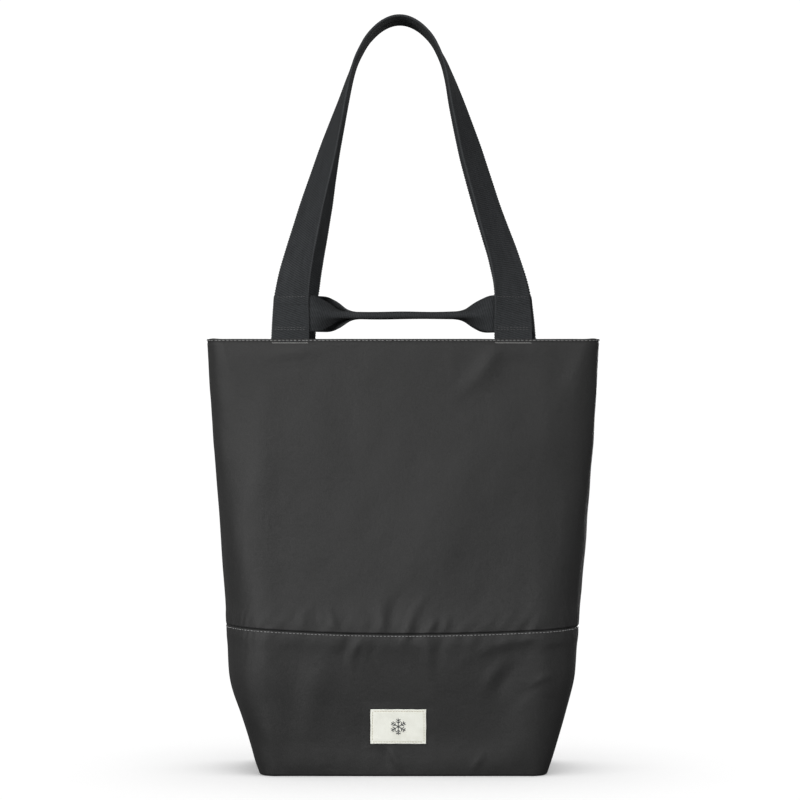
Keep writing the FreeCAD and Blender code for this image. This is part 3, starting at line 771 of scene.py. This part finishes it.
def with_foot(side, points):
    """Turns what is sewn behind a strap's foot with the foot, and lets go beside it."""
    centre = strap_centre(side)
    flat_reach = STRAP_STATIONS[side][0][1] * MM
    rise = points[..., 2] - RIM
    low_rise = np.clip(rise, 0, 60 * MM)
    x = points[..., 0] - centre
    twist = np.where(x < 0, strap_twist(low_rise, -1), strap_twist(low_rise, 1))
    reach = np.interp(rise, *(np.array(STRAP_STATIONS[side]).T * MM))
    toward = flat_reach - np.abs(x)
    weight = 1 - smooth((toward - WEB_WIDE / 2) / (26 * MM))
    back = np.abs(points[..., 1]) - STRAP_DEPTH
    turned_x = np.sign(x) * (reach - toward * np.cos(twist) - back * np.sin(twist))
    turned_y = STRAP_DEPTH + toward * np.sin(twist) + back * np.cos(twist)
    moved = points.copy()
    moved[..., 0] += weight * (centre + turned_x - points[..., 0])
    moved[..., 1] += weight * (SIDES[side] * turned_y - points[..., 1])
    return moved


def make_grab(side):
    """Webbing sewn behind both feet; between them its edges curl back into a flat tube."""
    sign = SIDES[side]
    low, high = node_box(f"{side}_grab_handle")
    end = (high[0] - low[0]) / 2
    flare_from = end - WEB_WIDE
    x = np.linspace(-end + 1 * MM, end - 1 * MM, 460)
    inward = np.clip(flare_from - np.abs(x), 0, None)
    under, over = (roll_at(inward, late) for late in ROLL_LATE[side])
    depth, height = np.swapaxes([roll_section(*rolls) for rolls in zip(under, over)], 0, 1)
    front_face = STRAP_DEPTH - WEB_THICK / 2 - 0.25 * MM
    z = (low[2] + high[2]) / 2 - 1.4 * MM * (1 - np.clip(np.abs(x) / flare_from, 0, 1) ** 2)
    z = z + 0.25 * MM * waves(x, 0 * x, 71 + sign, 50, 110)
    run = np.broadcast_to(x[:, None], depth.shape)
    y = sign * (front_face - HANDLE_THICK / 2 - depth)
    middle = with_foot(side, np.stack([(low[0] + high[0]) / 2 + run, y, z[:, None] + height], axis=-1))
    normal = grid_normals(middle)
    normal = normal * sign * np.sign(np.sum(normal[..., 1]))
    t = np.linspace(-1, 1, HANDLE_COLUMNS)
    edge = HANDLE_HALF * (1 - np.abs(t))
    half = HANDLE_THICK / 2 * round_rim(edge, HANDLE_THICK, 0.08)
    half = half * (1 + 0.14 * bell(edge, 1.6 * MM, 1.1 * MM))
    uv = np.stack(np.broadcast_arrays(HANDLE_HALF * (1 + t), run + end), axis=-1)
    piece = sheet_solid(f"{side}_grab_webbing", middle, normal, half, uv)
    settle(piece, "webbing", f"{side}_handle", [f"{side}_grab_handle"])


# --- materials ---


class Nodes:
    """A short way to build one material's node tree."""

    def __init__(self, name):
        self.material = bpy.data.materials.new(name)
        self.material.use_nodes = True
        self.tree = self.material.node_tree
        self.shader = self.tree.nodes["Principled BSDF"]

    def add(self, kind, inputs=None, **settings):
        node = self.tree.nodes.new("ShaderNode" + kind)
        for key, value in settings.items():
            setattr(node, key, value)
        for key, value in (inputs or {}).items():
            self.feed(node.inputs[key], value)
        return node

    def feed(self, socket, value):
        if isinstance(value, bpy.types.NodeSocket):
            self.tree.links.new(value, socket)
        else:
            socket.default_value = value

    def math(self, operation, *values, clamp=False):
        node = self.add("Math", dict(enumerate(values)), operation=operation, use_clamp=clamp)
        return node.outputs[0]

    def plus(self, a, b, clamp=False):
        return self.math("ADD", a, b, clamp=clamp)

    def times(self, a, b, clamp=False):
        return self.math("MULTIPLY", a, b, clamp=clamp)

    def noise(self, scale, detail=3.0, rough=0.55, vector=None):
        inputs = {"Scale": scale, "Detail": detail, "Roughness": rough}
        if vector is not None:
            inputs["Vector"] = vector
        return self.add("TexNoise", inputs).outputs["Fac"]

    def span(self, value, to_low, to_high, low=0.3, high=0.7):
        inputs = {"Value": value, "From Min": low, "From Max": high, "To Min": to_low, "To Max": to_high}
        return self.add("MapRange", inputs).outputs["Result"]

    def mix(self, share, a, b):
        return self.add("Mix", {0: share, 6: a, 7: b}, data_type="RGBA").outputs[2]

    def place(self):
        return self.add("TexCoord").outputs["Object"]

    def cloth_uv(self):
        uv = self.add("UVMap", uv_map="cloth").outputs["UV"]
        parts = self.add("SeparateXYZ", {"Vector": uv})
        return parts.outputs["X"], parts.outputs["Y"]

    def ridges(self, coordinate, pitch):
        """A row of round threads, 0 to 1, across a coordinate in metres."""
        return self.math("ABSOLUTE", self.math("SINE", self.times(coordinate, math.pi / pitch)))

    def bump(self, height, distance, strength=1.0):
        inputs = {"Distance": distance, "Strength": strength, "Height": height}
        self.feed(self.shader.inputs["Normal"], self.add("Bump", inputs).outputs["Normal"])

    def surface(self, color, rough, **fixed):
        self.feed(self.shader.inputs["Base Color"], color)
        self.feed(self.shader.inputs["Roughness"], rough)
        for key, value in fixed.items():
            self.shader.inputs[key.replace("_", " ")].default_value = value
        return self.material


def gray(value, tint=(1, 1, 1)):
    return (*(value * part for part in tint), 1)


def plain_weave(n, pitch):
    """Height of a plain weave: warp and weft threads that pass over each other in turn."""
    x, y = n.cloth_uv()
    warp, weft = n.ridges(x, pitch), n.ridges(y, pitch)
    over, under = (n.math("SINE", n.times(c, math.pi / pitch)) for c in (x, y))
    turn = n.math("GREATER_THAN", n.times(over, under), 0.0)
    a = n.times(n.math("MAXIMUM", weft, n.times(warp, 0.6)), turn)
    b = n.times(n.math("MAXIMUM", warp, n.times(weft, 0.6)), n.math("SUBTRACT", 1.0, turn))
    return n.plus(a, b)


def shell_material():
    n = Nodes("shell_fabric")
    weave = plain_weave(n, 0.55 * MM)
    place = n.place()
    broad = n.noise(9.0, 3.0, 0.5, place)
    speck = n.noise(900.0, 2.0, 0.6, place)
    tone = n.plus(n.span(broad, -0.08, 0.08), n.span(speck, -0.16, 0.16))
    tone = n.plus(tone, n.span(weave, -0.22, 0.10, 0.2, 1.0))
    color = n.mix(n.plus(tone, 0.5, clamp=True), gray(0.0078), gray(0.0255, (1.0, 1.0, 0.99)))
    height = n.plus(weave, n.times(n.noise(260.0, 2.0, 0.5, place), 0.9))
    height = n.plus(height, n.times(n.noise(34.0, 5.0, 0.62, place), 14.0))
    n.bump(height, 0.10 * MM, 0.7)
    return n.surface(color, n.span(broad, 0.50, 0.60), Sheen_Weight=0.02, Sheen_Roughness=0.5,
                     Specular_IOR_Level=0.20)


def webbing_material():
    n = Nodes("webbing")
    x, y = n.cloth_uv()
    ribs = n.ridges(n.plus(y, n.times(x, 0.32)), 2.3 * MM)
    height = n.plus(n.times(ribs, 0.55), n.times(n.ridges(y, 1.15 * MM), 0.4))
    height = n.plus(height, n.times(n.ridges(x, 1.0 * MM), 0.25))
    fuzz = n.noise(560.0, 4.0, 0.7)
    share = n.plus(n.span(height, 0.15, 0.8, 0.2, 1.2), n.span(fuzz, -0.5, 0.5))
    share = n.plus(share, n.span(n.noise(14.0, 2.0, 0.5), -0.08, 0.08), clamp=True)
    color = n.mix(share, gray(0.004, (0.94, 1.0, 1.06)), gray(0.042, (0.94, 1.0, 1.06)))
    # The last millimetre or so along each selvedge is painted lighter: a painted highlight for the light that
    # the webbing's edges catch.
    middle = n.math("ABSOLUTE", n.math("SUBTRACT", x, WEB_WIDE / 2))
    edge = n.span(middle, 0.0, 0.35, WEB_WIDE / 2 - 1.2 * MM, WEB_WIDE / 2 - 0.5 * MM)
    color = n.mix(edge, color, gray(0.05, (0.95, 1.0, 1.04)))
    n.bump(n.plus(height, n.times(fuzz, 0.9)), 0.35 * MM)
    return n.surface(color, n.span(fuzz, 0.8, 0.95), Sheen_Weight=0.015, Sheen_Roughness=0.5,
                     Specular_IOR_Level=0.08)


def lining_material():
    n = Nodes("lining")
    crinkle = n.noise(60.0, 4.0, 0.65, n.place())
    color = n.mix(n.span(crinkle, 0.2, 0.8), gray(0.36), gray(0.62, (0.99, 1.0, 1.01)))
    n.bump(n.plus(n.times(crinkle, 2.5), n.times(plain_weave(n, 0.9 * MM), 0.2)), 0.8 * MM, 0.6)
    return n.surface(color, n.span(crinkle, 0.26, 0.42), Metallic=0.35)


def foam_material():
    n = Nodes("foam")
    cells = n.add("TexVoronoi", {"Scale": 700.0}).outputs["Distance"]
    color = n.mix(cells, gray(0.60), gray(0.80, (1.0, 1.0, 0.97)))
    n.bump(cells, 0.5 * MM, 0.6)
    return n.surface(color, n.span(cells, 0.95, 0.8, 0.0, 0.7), Sheen_Weight=0.1)


def tape_material():
    n = Nodes("zip_tape")
    x, y = n.cloth_uv()
    rows = n.ridges(n.plus(x, n.times(n.ridges(y, 3.2 * MM), 1.6 * MM)), 0.6 * MM)
    n.bump(rows, 0.15 * MM, 0.8)
    color = n.mix(rows, gray(0.010), gray(0.030))
    return n.surface(color, n.span(rows, 0.85, 0.7, 0, 1), Sheen_Weight=0.2)


def metal_material():
    """Black plated metal, worn on its edges."""
    n = Nodes("zip_metal")
    grain = n.noise(800.0, 3.0, 0.6)
    edge = n.add("NewGeometry").outputs["Pointiness"]
    worn = n.times(n.span(edge, 0.0, 1.0, 0.53, 0.60), n.span(grain, 0.2, 1.0, 0.4, 0.6), clamp=True)
    n.bump(grain, 0.03 * MM, 0.5)
    color = n.mix(worn, gray(0.020), gray(0.16))
    return n.surface(color, n.span(grain, 0.28, 0.42), Metallic=0.55)


def label_material():
    n = Nodes("label")
    weave = plain_weave(n, 0.5 * MM)
    stain = n.noise(70.0, 3.0, 0.55, n.place())
    share = n.plus(n.span(weave, 0.0, 0.7, 0.2, 1.0), n.span(stain, -0.1, 0.3), clamp=True)
    n.bump(weave, 0.12 * MM, 0.8)
    color = n.mix(share, (0.60, 0.60, 0.53, 1), (0.80, 0.81, 0.75, 1))
    return n.surface(color, n.span(stain, 0.75, 0.88), Sheen_Weight=0.1)


def grained_material(name, grain, dark, light, bump, rough, **fixed):
    """A material whose colour, relief and gloss follow one fine noise."""
    n = Nodes(name)
    scale, detail, coarse, on_object = grain
    noise = n.noise(scale, detail, coarse, n.place() if on_object else None)
    if bump:
        n.bump(noise, bump[0] * MM, bump[1])
    return n.surface(n.mix(noise, dark, light), n.span(noise, *rough), **fixed)


def thread_material(name, dark, light):
    return grained_material(name, (1500.0, 2.0, 0.6, True), dark, light, (0.08, 0.8), (0.45, 0.6),
                            Sheen_Weight=0.2)


WARM, COOL = (1.0, 0.99, 0.96), (0.95, 1.0, 1.05)
MATERIALS = {
    "shell_fabric": shell_material(),
    "webbing": webbing_material(),
    "lining": lining_material(),
    "foam": foam_material(),
    "board": grained_material("board", (520.0, 4.0, 0.6, False), gray(0.015), gray(0.035), (0.15, 0.6),
                              (0.45, 0.65)),
    "zip_tape": tape_material(),
    "zip_coil": grained_material("zip_coil", (300.0, 3.0, 0.6, False), gray(0.012), gray(0.026), None,
                                 (0.30, 0.48)),
    "zip_metal": metal_material(),
    "label": label_material(),
    "print": grained_material("label_print", (900.0, 2.0, 0.6, False), gray(0.035, COOL),
                              gray(0.075, COOL), (0.05, 0.6), (0.6, 0.75)),
    "thread": thread_material("thread", gray(0.13), gray(0.24)),
    "tack": thread_material("tack", gray(0.12, WARM), gray(0.22, WARM)),
    "strap_thread": thread_material("strap_thread", gray(0.022), gray(0.055)),
    "label_thread": thread_material("label_thread", (0.36, 0.30, 0.20, 1), (0.55, 0.50, 0.38, 1)),
}


# --- making the bag ---


def settle(piece, material, body="root", nodes=()):
    """Gives a piece its material and its body, and hides the CAD nodes that it replaces."""
    piece.data.materials.clear()
    piece.data.materials.append(MATERIALS[material])
    if nodes:
        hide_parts(*nodes)
    if body:
        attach(piece, body)
    return piece


def make_shell():
    panels = {}
    for side in SIDES:
        for part, (piece, grid) in make_outer(side).items():
            panels[side, part] = piece
            settle(piece, "shell_fabric", "root", [f"outer_{side}_{part}"])
    half = BASE_HALF - FOOT_ROUND
    base = floor_plate("base_panel", half, 0.0, SKIN, 13 * MM, 61, 0.0)
    settle(base, "shell_fabric", "root", ["outer_base"])
    return panels


def make_inside():
    """Foam, lining and hem facing on each wall, and the three layers of the floor."""
    drop = node_box("facing_front")[0][2]
    lining_floor = node_box("lining_base")[1][2]
    for side in SIDES:
        wall = f"{side}_foam_wall"
        foam, _ = wall_layer(wall, side, 1.9 * MM, 4.0 * MM, 1.6 * MM, drop - 0.4 * MM, 70, 81, detail=1)
        settle(foam, "foam", "root", [f"foam_{side}"])
        lining, grid = wall_layer(f"{side}_lining_wall", side, 6.4 * MM, 0.7 * MM, lining_floor,
                                  drop + 1.5 * MM, 130, 83, rough=0.6 * MM)
        settle(lining, "lining", "root", [f"lining_{side}"])
        facing, grid = wall_layer(f"{side}_hem_facing", side, 3.45 * MM, 0.95 * MM, drop,
                                  RIM - 0.4 * MM, 40, 85, rough=0.10 * MM)
        settle(facing, "shell_fabric", "root", [f"facing_{side}"])
    layers = (
        ("insole_board", "base_board", "board", 0.0),
        ("base_foam_pad", "foam_base", "foam", 0.05 * MM),
        ("base_lining_panel", "lining_base", "lining", 0.25 * MM),
    )
    for seed, (name, node, material, rough) in enumerate(layers, start=91):
        low, high = node_box(node)
        plate = floor_plate(name, high[:2], low[2], high[2], 9 * MM, seed, rough)
        settle(plate, material, "root", [node])


def make_seam_stitches(panels):
    """The topstitch rows round the hem and under the cross seam."""
    for side, sign in SIDES.items():
        seam = np.linspace(0.003, 0.997, 2200)
        level = seam_level(shell_points(side, seam, SEAM)[0][:, 0]) - SEAM_ROW
        rows = (
            ("hem", "upper", np.linspace(0.012, 0.988, 2200), RIM - HEM_ROW, 4.0, 2.9, 3),
            ("seam", "lower", seam, level, 3.6, 2.5, 7),
        )
        for name, part, column, level, pitch, long, seed in rows:
            dense = landed([panels[side, part]], *shell_points(side, column, level))
            runs = stitch_runs(dense, pitch * MM, long * MM, seed=seed + sign)
            piece = tubes(f"{side}_{name}_stitches", runs, THREAD)
            settle(piece, "thread")


def make_bar_tacks(panels):
    """A zigzag tack that holds each strap tail in the hem."""
    for side in SIDES:
        runs = []
        for hand in HANDS:
            low, high = node_box(f"{side}_strap_foot_{hand}")
            column = column_at(side, np.linspace(low[0] + 1 * MM, high[0] - 1 * MM, 120), RIM - 4.3 * MM)
            dense = landed([panels[side, "upper"]], *shell_points(side, column, RIM - 4.3 * MM))
            runs += zigzag_run(dense, np.array([0, 0, 1.0]), 0.9 * MM, 1.6 * MM, 0.25 * MM)
        settle(tubes(f"{side}_bar_tacks", runs, 0.25 * MM), "tack")


def make_foot_stitches(straps):
    """Rows across each strap foot, which hold the grab handle behind it."""
    for side, sign in SIDES.items():
        runs = []
        handle_low, handle_high = node_box(f"{side}_grab_handle")
        levels = (handle_high[2] - 2.0 * MM, handle_low[2] + 4.4 * MM, handle_low[2] + 2.2 * MM)
        for hand, way in HANDS.items():
            low, high = node_box(f"{side}_strap_foot_{hand}")
            for k, level in enumerate(levels):
                inset = WEB_WIDE * (1 - math.cos(strap_twist(level - RIM, way)))
                left = low[0] + 2.5 * MM + (inset if way < 0 else 0)
                right = high[0] - 2.5 * MM - (inset if way > 0 else 0)
                point = np.linspace((left, sign * STRAP_DEPTH, level), (right, sign * STRAP_DEPTH, level), 80)
                dense = landed(straps[side], point, np.tile([0, sign, 0.0], (80, 1)), reach=18 * MM)
                runs += stitch_runs(dense, 3.2 * MM, 2.2 * MM, thread=0.26 * MM, seed=29 + k)
        piece = tubes(f"{side}_foot_stitches", runs, 0.26 * MM)
        settle(piece, "strap_thread", f"{side}_handle")


# --- label ---

LABEL_OFF = 0.9 * MM
LABEL_THICK = 0.6 * MM
LABEL_HALF = (PATCH_HIGH - PATCH_LOW)[[0, 2]] / 2
LABEL_CENTRE = (PATCH_HIGH + PATCH_LOW)[[0, 2]] / 2


def quadratic(x, z):
    """The terms of a quadratic surface near the label."""
    a, b = x / (50 * MM), z / (50 * MM) - 1
    return np.stack([a * 0 + 1, a, b, a * a, a * b, b * b], axis=-1)


def fit_front():
    """The quadratic surface that fits the lower front panel behind the label."""
    levels = np.linspace(PATCH_LOW[2] - 2 * MM, PATCH_HIGH[2] + 2 * MM, 12)
    grid = shell_points("front", COLUMNS, levels[:, None])[0]
    x, y, z = grid[np.abs(grid[..., 0]) < 34 * MM].T
    return np.linalg.lstsq(quadratic(x, z), y, rcond=None)[0]


def over_front(x, z, lift):
    """Points over the lower front panel, for the label and what is on it."""
    return np.stack([x, quadratic(x, z) @ FRONT_FIT - lift, z], axis=-1)


def label_line(a, b, count, lift):
    """A straight line over the label between two places in X and Z."""
    x, z = np.linspace(a, b, count).T
    return over_front(x, z, LABEL_OFF + LABEL_THICK / 2 + lift)


def make_label():
    """A woven patch with a stitched border."""
    u, v = np.linspace(-1, 1, 111), np.linspace(-1, 1, 71)
    x, z = np.meshgrid(LABEL_CENTRE[0] + LABEL_HALF[0] * u, LABEL_CENTRE[1] + LABEL_HALF[1] * v)
    x = x + 0.12 * MM * waves(z, 0 * z, 5, 12, 30) * np.abs(u) ** 4
    z = z + 0.12 * MM * waves(x, 0 * x, 6, 12, 30) * np.abs(v)[:, None] ** 4
    edge = np.minimum((1 - np.abs(u)) * LABEL_HALF[0], (1 - np.abs(v))[:, None] * LABEL_HALF[1])
    row = -0.22 * MM * bell(edge, 2 * MM, 0.6 * MM)
    belly = 0.25 * MM * (1 - np.exp(-edge / (4 * MM)))
    half = LABEL_THICK / 2 * np.interp(edge, [0, 0.3 * MM], [0.45, 1.0])
    piece = sheet_solid("label", over_front(x, z, LABEL_OFF + row + belly), (0, -1, 0), half)
    settle(piece, "label", "root", ["label_patch"])


def make_label_stitches():
    corners = np.array([(-1, -1), (1, -1), (1, 1), (-1, 1), (-1, -1)]) * (LABEL_HALF - 2.0 * MM)
    corners = corners + LABEL_CENTRE
    runs = []
    for k, (a, b) in enumerate(zip(corners[:-1], corners[1:])):
        line = label_line(a, b, 40, 0)
        dense = np.concatenate([line, np.tile([0, -1.0, 0], (len(line), 1))], axis=1)
        runs += stitch_runs(dense, 2.6 * MM, 2.0 * MM, thread=0.22 * MM, seed=50 + k)
    settle(tubes("label_stitches", runs, 0.22 * MM), "label_thread")


def make_snowflake():
    """A printed mark: six arms with two pairs of branches each."""
    reach, branch = 8.0 * MM, 2.7 * MM
    strokes = []
    for heading in np.radians(30 + 60 * np.arange(6)):
        out = np.array([math.cos(heading), math.sin(heading)])
        strokes.append((out * 0.2 * MM, out * reach))
        for share in (0.45, 0.72):
            for lean in (-math.radians(55), math.radians(55)):
                tip = np.array([math.cos(heading + lean), math.sin(heading + lean)])
                start = out * reach * share
                strokes.append((start, start + tip * branch * (1.25 - 0.5 * share)))
    lines = [label_line(a + LABEL_CENTRE, b + LABEL_CENTRE, 12, 0.25 * MM) for a, b in strokes]
    runs = [(line, np.ones(len(line))) for line in lines]
    settle(tubes("label_snowflake", runs, 0.42 * MM, sides=8), "print")


# --- zip ---

TAPE_OUTER = 16.9 * MM
COIL_THREAD = 0.34 * MM


def coil_run(low, high):
    """A spiral of round nylon that fills a long box."""
    pitch = 1.5 * MM
    turns = (high[0] - low[0]) / pitch
    t = np.linspace(0, turns, int(turns * 12) + 1)
    half, centre = (high - low) / 2 - COIL_THREAD, (low + high) / 2
    y = centre[1] + half[1] * np.cos(2 * math.pi * t)
    z = centre[2] + half[2] * np.sin(2 * math.pi * t)
    return np.stack([low[0] + t * pitch, y, z], axis=1), np.ones(len(t))


def make_zip():
    """The two tapes with their coils, which swing up on the flaps."""
    for side, sign in SIDES.items():
        low, high = node_box(f"zip_coil_{side}")
        inner = min(abs(low[1]), abs(high[1])) + 1.6 * MM
        x, y = np.meshgrid(np.linspace(low[0], high[0], 240), sign * np.linspace(TAPE_OUTER, inner, 25))
        z = TAPE_LEVEL + 0.12 * MM * waves(x, y * 0.3, 95 + sign, 18, 50)
        tape = sheet_solid(f"{side}_zip_tape", np.stack([x, y, z], axis=-1), (0, 0, 1), TAPE_THICK / 2)
        settle(tape, "zip_tape", None, [f"zip_tape_{side}"])
        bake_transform(tape)
        coil = tubes(f"{side}_zip_coil", [coil_run(low, high)], COIL_THREAD)
        settle(coil, "zip_coil", f"zip_{side}_flap", [f"zip_coil_{side}"])


def make_zip_ends():
    """The tapes' sewn ends: each a pair of tape tongues, a short run of coil and a bar tack."""
    wide = 14.5 * MM
    for hand, way in HANDS.items():
        low, high = node_box(f"zip_end_{hand}")
        x = np.linspace(low[0], high[0] + (0.4 * MM if way < 0 else 0), 30)
        for side, sign in SIDES.items():
            xx, yy = np.meshgrid(x, sign * np.linspace(TAPE_OUTER, TAPE_OUTER - wide, 20))
            grid = np.stack([xx, yy, np.full_like(xx, TAPE_LEVEL)], axis=-1)
            tongue = sheet_solid(f"zip_{hand}_end_{side}_tape", grid, (0, 0, 1), TAPE_THICK / 2)
            settle(tongue, "zip_tape", "root", [f"zip_end_{hand}"])
            coil_low, coil_high = node_box(f"zip_coil_{side}")
            coil_low[0], coil_high[0] = low[0] + 0.6 * MM, high[0] - 0.2 * MM
            coil = tubes(f"zip_{hand}_end_{side}_coil", [coil_run(coil_low, coil_high)], COIL_THREAD)
            settle(coil, "zip_coil")
        at = low[0] + 1.2 * MM if way < 0 else high[0] - 1.6 * MM
        line = np.linspace((at, -3.4 * MM, TAPE_LEVEL + 1.2 * MM), (at, 3.4 * MM, TAPE_LEVEL + 1.2 * MM), 30)
        dense = np.concatenate([line, np.tile([0, 0, 1.0], (30, 1))], axis=1)
        run = zigzag_run(dense, np.array([1.0, 0, 0]), 0.7 * MM, 2.0 * MM, 0.3 * MM)
        settle(tubes(f"zip_{hand}_end_tack", run, 0.3 * MM), "thread")


def finish_metal():
    """The slider and its pull keep their CAD shape, with softened edges."""
    for node in ("zip_slider", "zip_pull"):
        piece = frame["nodes"][node]
        piece.modifiers.new("weld", "WELD").merge_threshold = 0.005 * MM
        bevel = piece.modifiers.new("soft_edges", "BEVEL")
        bevel.width = 0.28 * MM
        bevel.segments = 3
        bevel.limit_method = "ANGLE"
        bevel.angle_limit = math.radians(40)
        piece.data.materials.clear()
        piece.data.materials.append(MATERIALS["zip_metal"])


PANELS = make_shell()
make_inside()
STRAPS = {side: make_strap(side) for side in SIDES}
for strap_side in SIDES:
    make_grab(strap_side)
make_seam_stitches(PANELS)
make_bar_tacks(PANELS)
make_foot_stitches(STRAPS)
FRONT_FIT = fit_front()
make_label()
make_label_stitches()
make_snowflake()
make_zip()
make_zip_ends()
finish_metal()


# --- stage ---


def make_camera():
    data = bpy.data.cameras.new("camera")
    data.lens = 133.7
    data.sensor_width = 36.0
    data.clip_start, data.clip_end = 0.05, 60
    camera = bpy.data.objects.new("camera", data)
    camera.location = (-3.3 * MM, -3.0, 371.5 * MM)
    camera.rotation_euler = (math.pi / 2, 0, 0)
    bpy.context.scene.collection.objects.link(camera)
    bpy.context.scene.camera = camera


def area_light(name, place, target, size, power):
    data = bpy.data.lights.new(name, "AREA")
    data.shape = "RECTANGLE"
    data.size, data.size_y = size
    data.energy = power
    light = bpy.data.objects.new(name, data)
    light.location = place
    aim = Vector(target) - Vector(place)
    light.rotation_euler = aim.to_track_quat("-Z", "Y").to_euler()
    bpy.context.scene.collection.objects.link(light)
    return light


def camera_ray_mix(tree, unseen, seen, output):
    """One shader for the camera's own rays and another for all the others."""
    path = tree.nodes.new("ShaderNodeLightPath")
    mix = tree.nodes.new("ShaderNodeMixShader")
    for socket, source in zip(mix.inputs, (path.outputs["Is Camera Ray"], unseen, seen)):
        tree.links.new(source, socket)
    tree.links.new(mix.outputs[0], tree.nodes[output].inputs["Surface"])


def make_floor():
    """A white floor that the camera sees as white, and that throws little light on the bag."""
    corners = np.array([(-30, -30, 0), (30, -30, 0), (30, 30, 0), (-30, 30, 0)], float)
    floor = new_piece("floor", corners, np.array([(0, 1, 2, 3)]))
    n = Nodes("floor")
    n.surface((0.8, 0.8, 0.8, 1), 0.95, Specular_IOR_Level=0.0)
    n.shader.inputs["Emission Color"].default_value = (1, 1, 1, 1)
    n.shader.inputs["Emission Strength"].default_value = 0.30
    dull = n.add("BsdfDiffuse", {"Color": (0.16, 0.16, 0.16, 1)})
    camera_ray_mix(n.tree, dull.outputs[0], n.shader.outputs[0], "Material Output")
    floor.data.materials.append(n.material)
    return floor


def make_world():
    world = bpy.data.worlds.new("studio")
    world.use_nodes = True
    tree = world.node_tree
    ambient, seen = tree.nodes["Background"], tree.nodes.new("ShaderNodeBackground")
    for background, strength in ((ambient, 0.34), (seen, 1.05)):
        background.inputs["Color"].default_value = (1, 1, 1, 1)
        background.inputs["Strength"].default_value = strength
    camera_ray_mix(tree, ambient.outputs[0], seen.outputs[0], "World Output")
    bpy.context.scene.world = world


def reach_only(light, lit, unlit=()):
    """Limits a light to some pieces, or to all but some."""
    chosen = bpy.data.collections.new(light.name + "_reach")
    for piece in [*lit, *unlit]:
        chosen.objects.link(piece)
    for entry, piece in zip(chosen.collection_objects, [*lit, *unlit]):
        entry.light_linking.link_state = "EXCLUDE" if piece in unlit else "INCLUDE"
    light.light_linking.receiver_collection = chosen


def make_stage():
    floor = make_floor()
    make_world()
    woven = [
        piece for piece in bpy.data.objects
        if piece.type == "MESH" and piece.data.materials[:] == [MATERIALS["webbing"]]
    ]
    middle, arch, behind = (0, 0, 0.30), (0, 0, 0.55), (0.7, 2.1, 0.75)
    # Name, place, target, size, power, then the pieces that a light reaches or leaves out.
    for name, place, target, size, power, lit, unlit in (
        ("key", (-0.85, -1.35, 0.80), middle, (0.6, 0.6), 31, [], [floor]),
        ("fill", (0.5, -2.8, 0.7), middle, (1.2, 1.6), 9, [], [floor]),
        ("back", behind, middle, (1.0, 1.0), 36, [], [floor, *woven]),
        ("top", (-0.2, -0.3, 2.0), middle, (0.8, 0.8), 12, [], [floor, *woven]),
        ("side", (1.7, -0.7, 0.35), middle, (0.8, 0.8), 5, [], [floor, *woven]),
        ("strap_back", behind, middle, (1.0, 1.0), 4, woven, []),
        ("strap_fill", (1.3, -1.3, 0.45), arch, (0.8, 0.8), 16, woven, []),
    ):
        reach_only(area_light(name, place, target, size, power), lit, unlit)
    sun = bpy.data.lights.new("overhead", "SUN")
    sun.energy = 1.8
    sun.angle = math.radians(50)
    overhead = bpy.data.objects.new("overhead", sun)
    bpy.context.scene.collection.objects.link(overhead)
    reach_only(overhead, [floor])
    bpy.context.scene.view_settings.view_transform = "Standard"


make_camera()
make_stage()
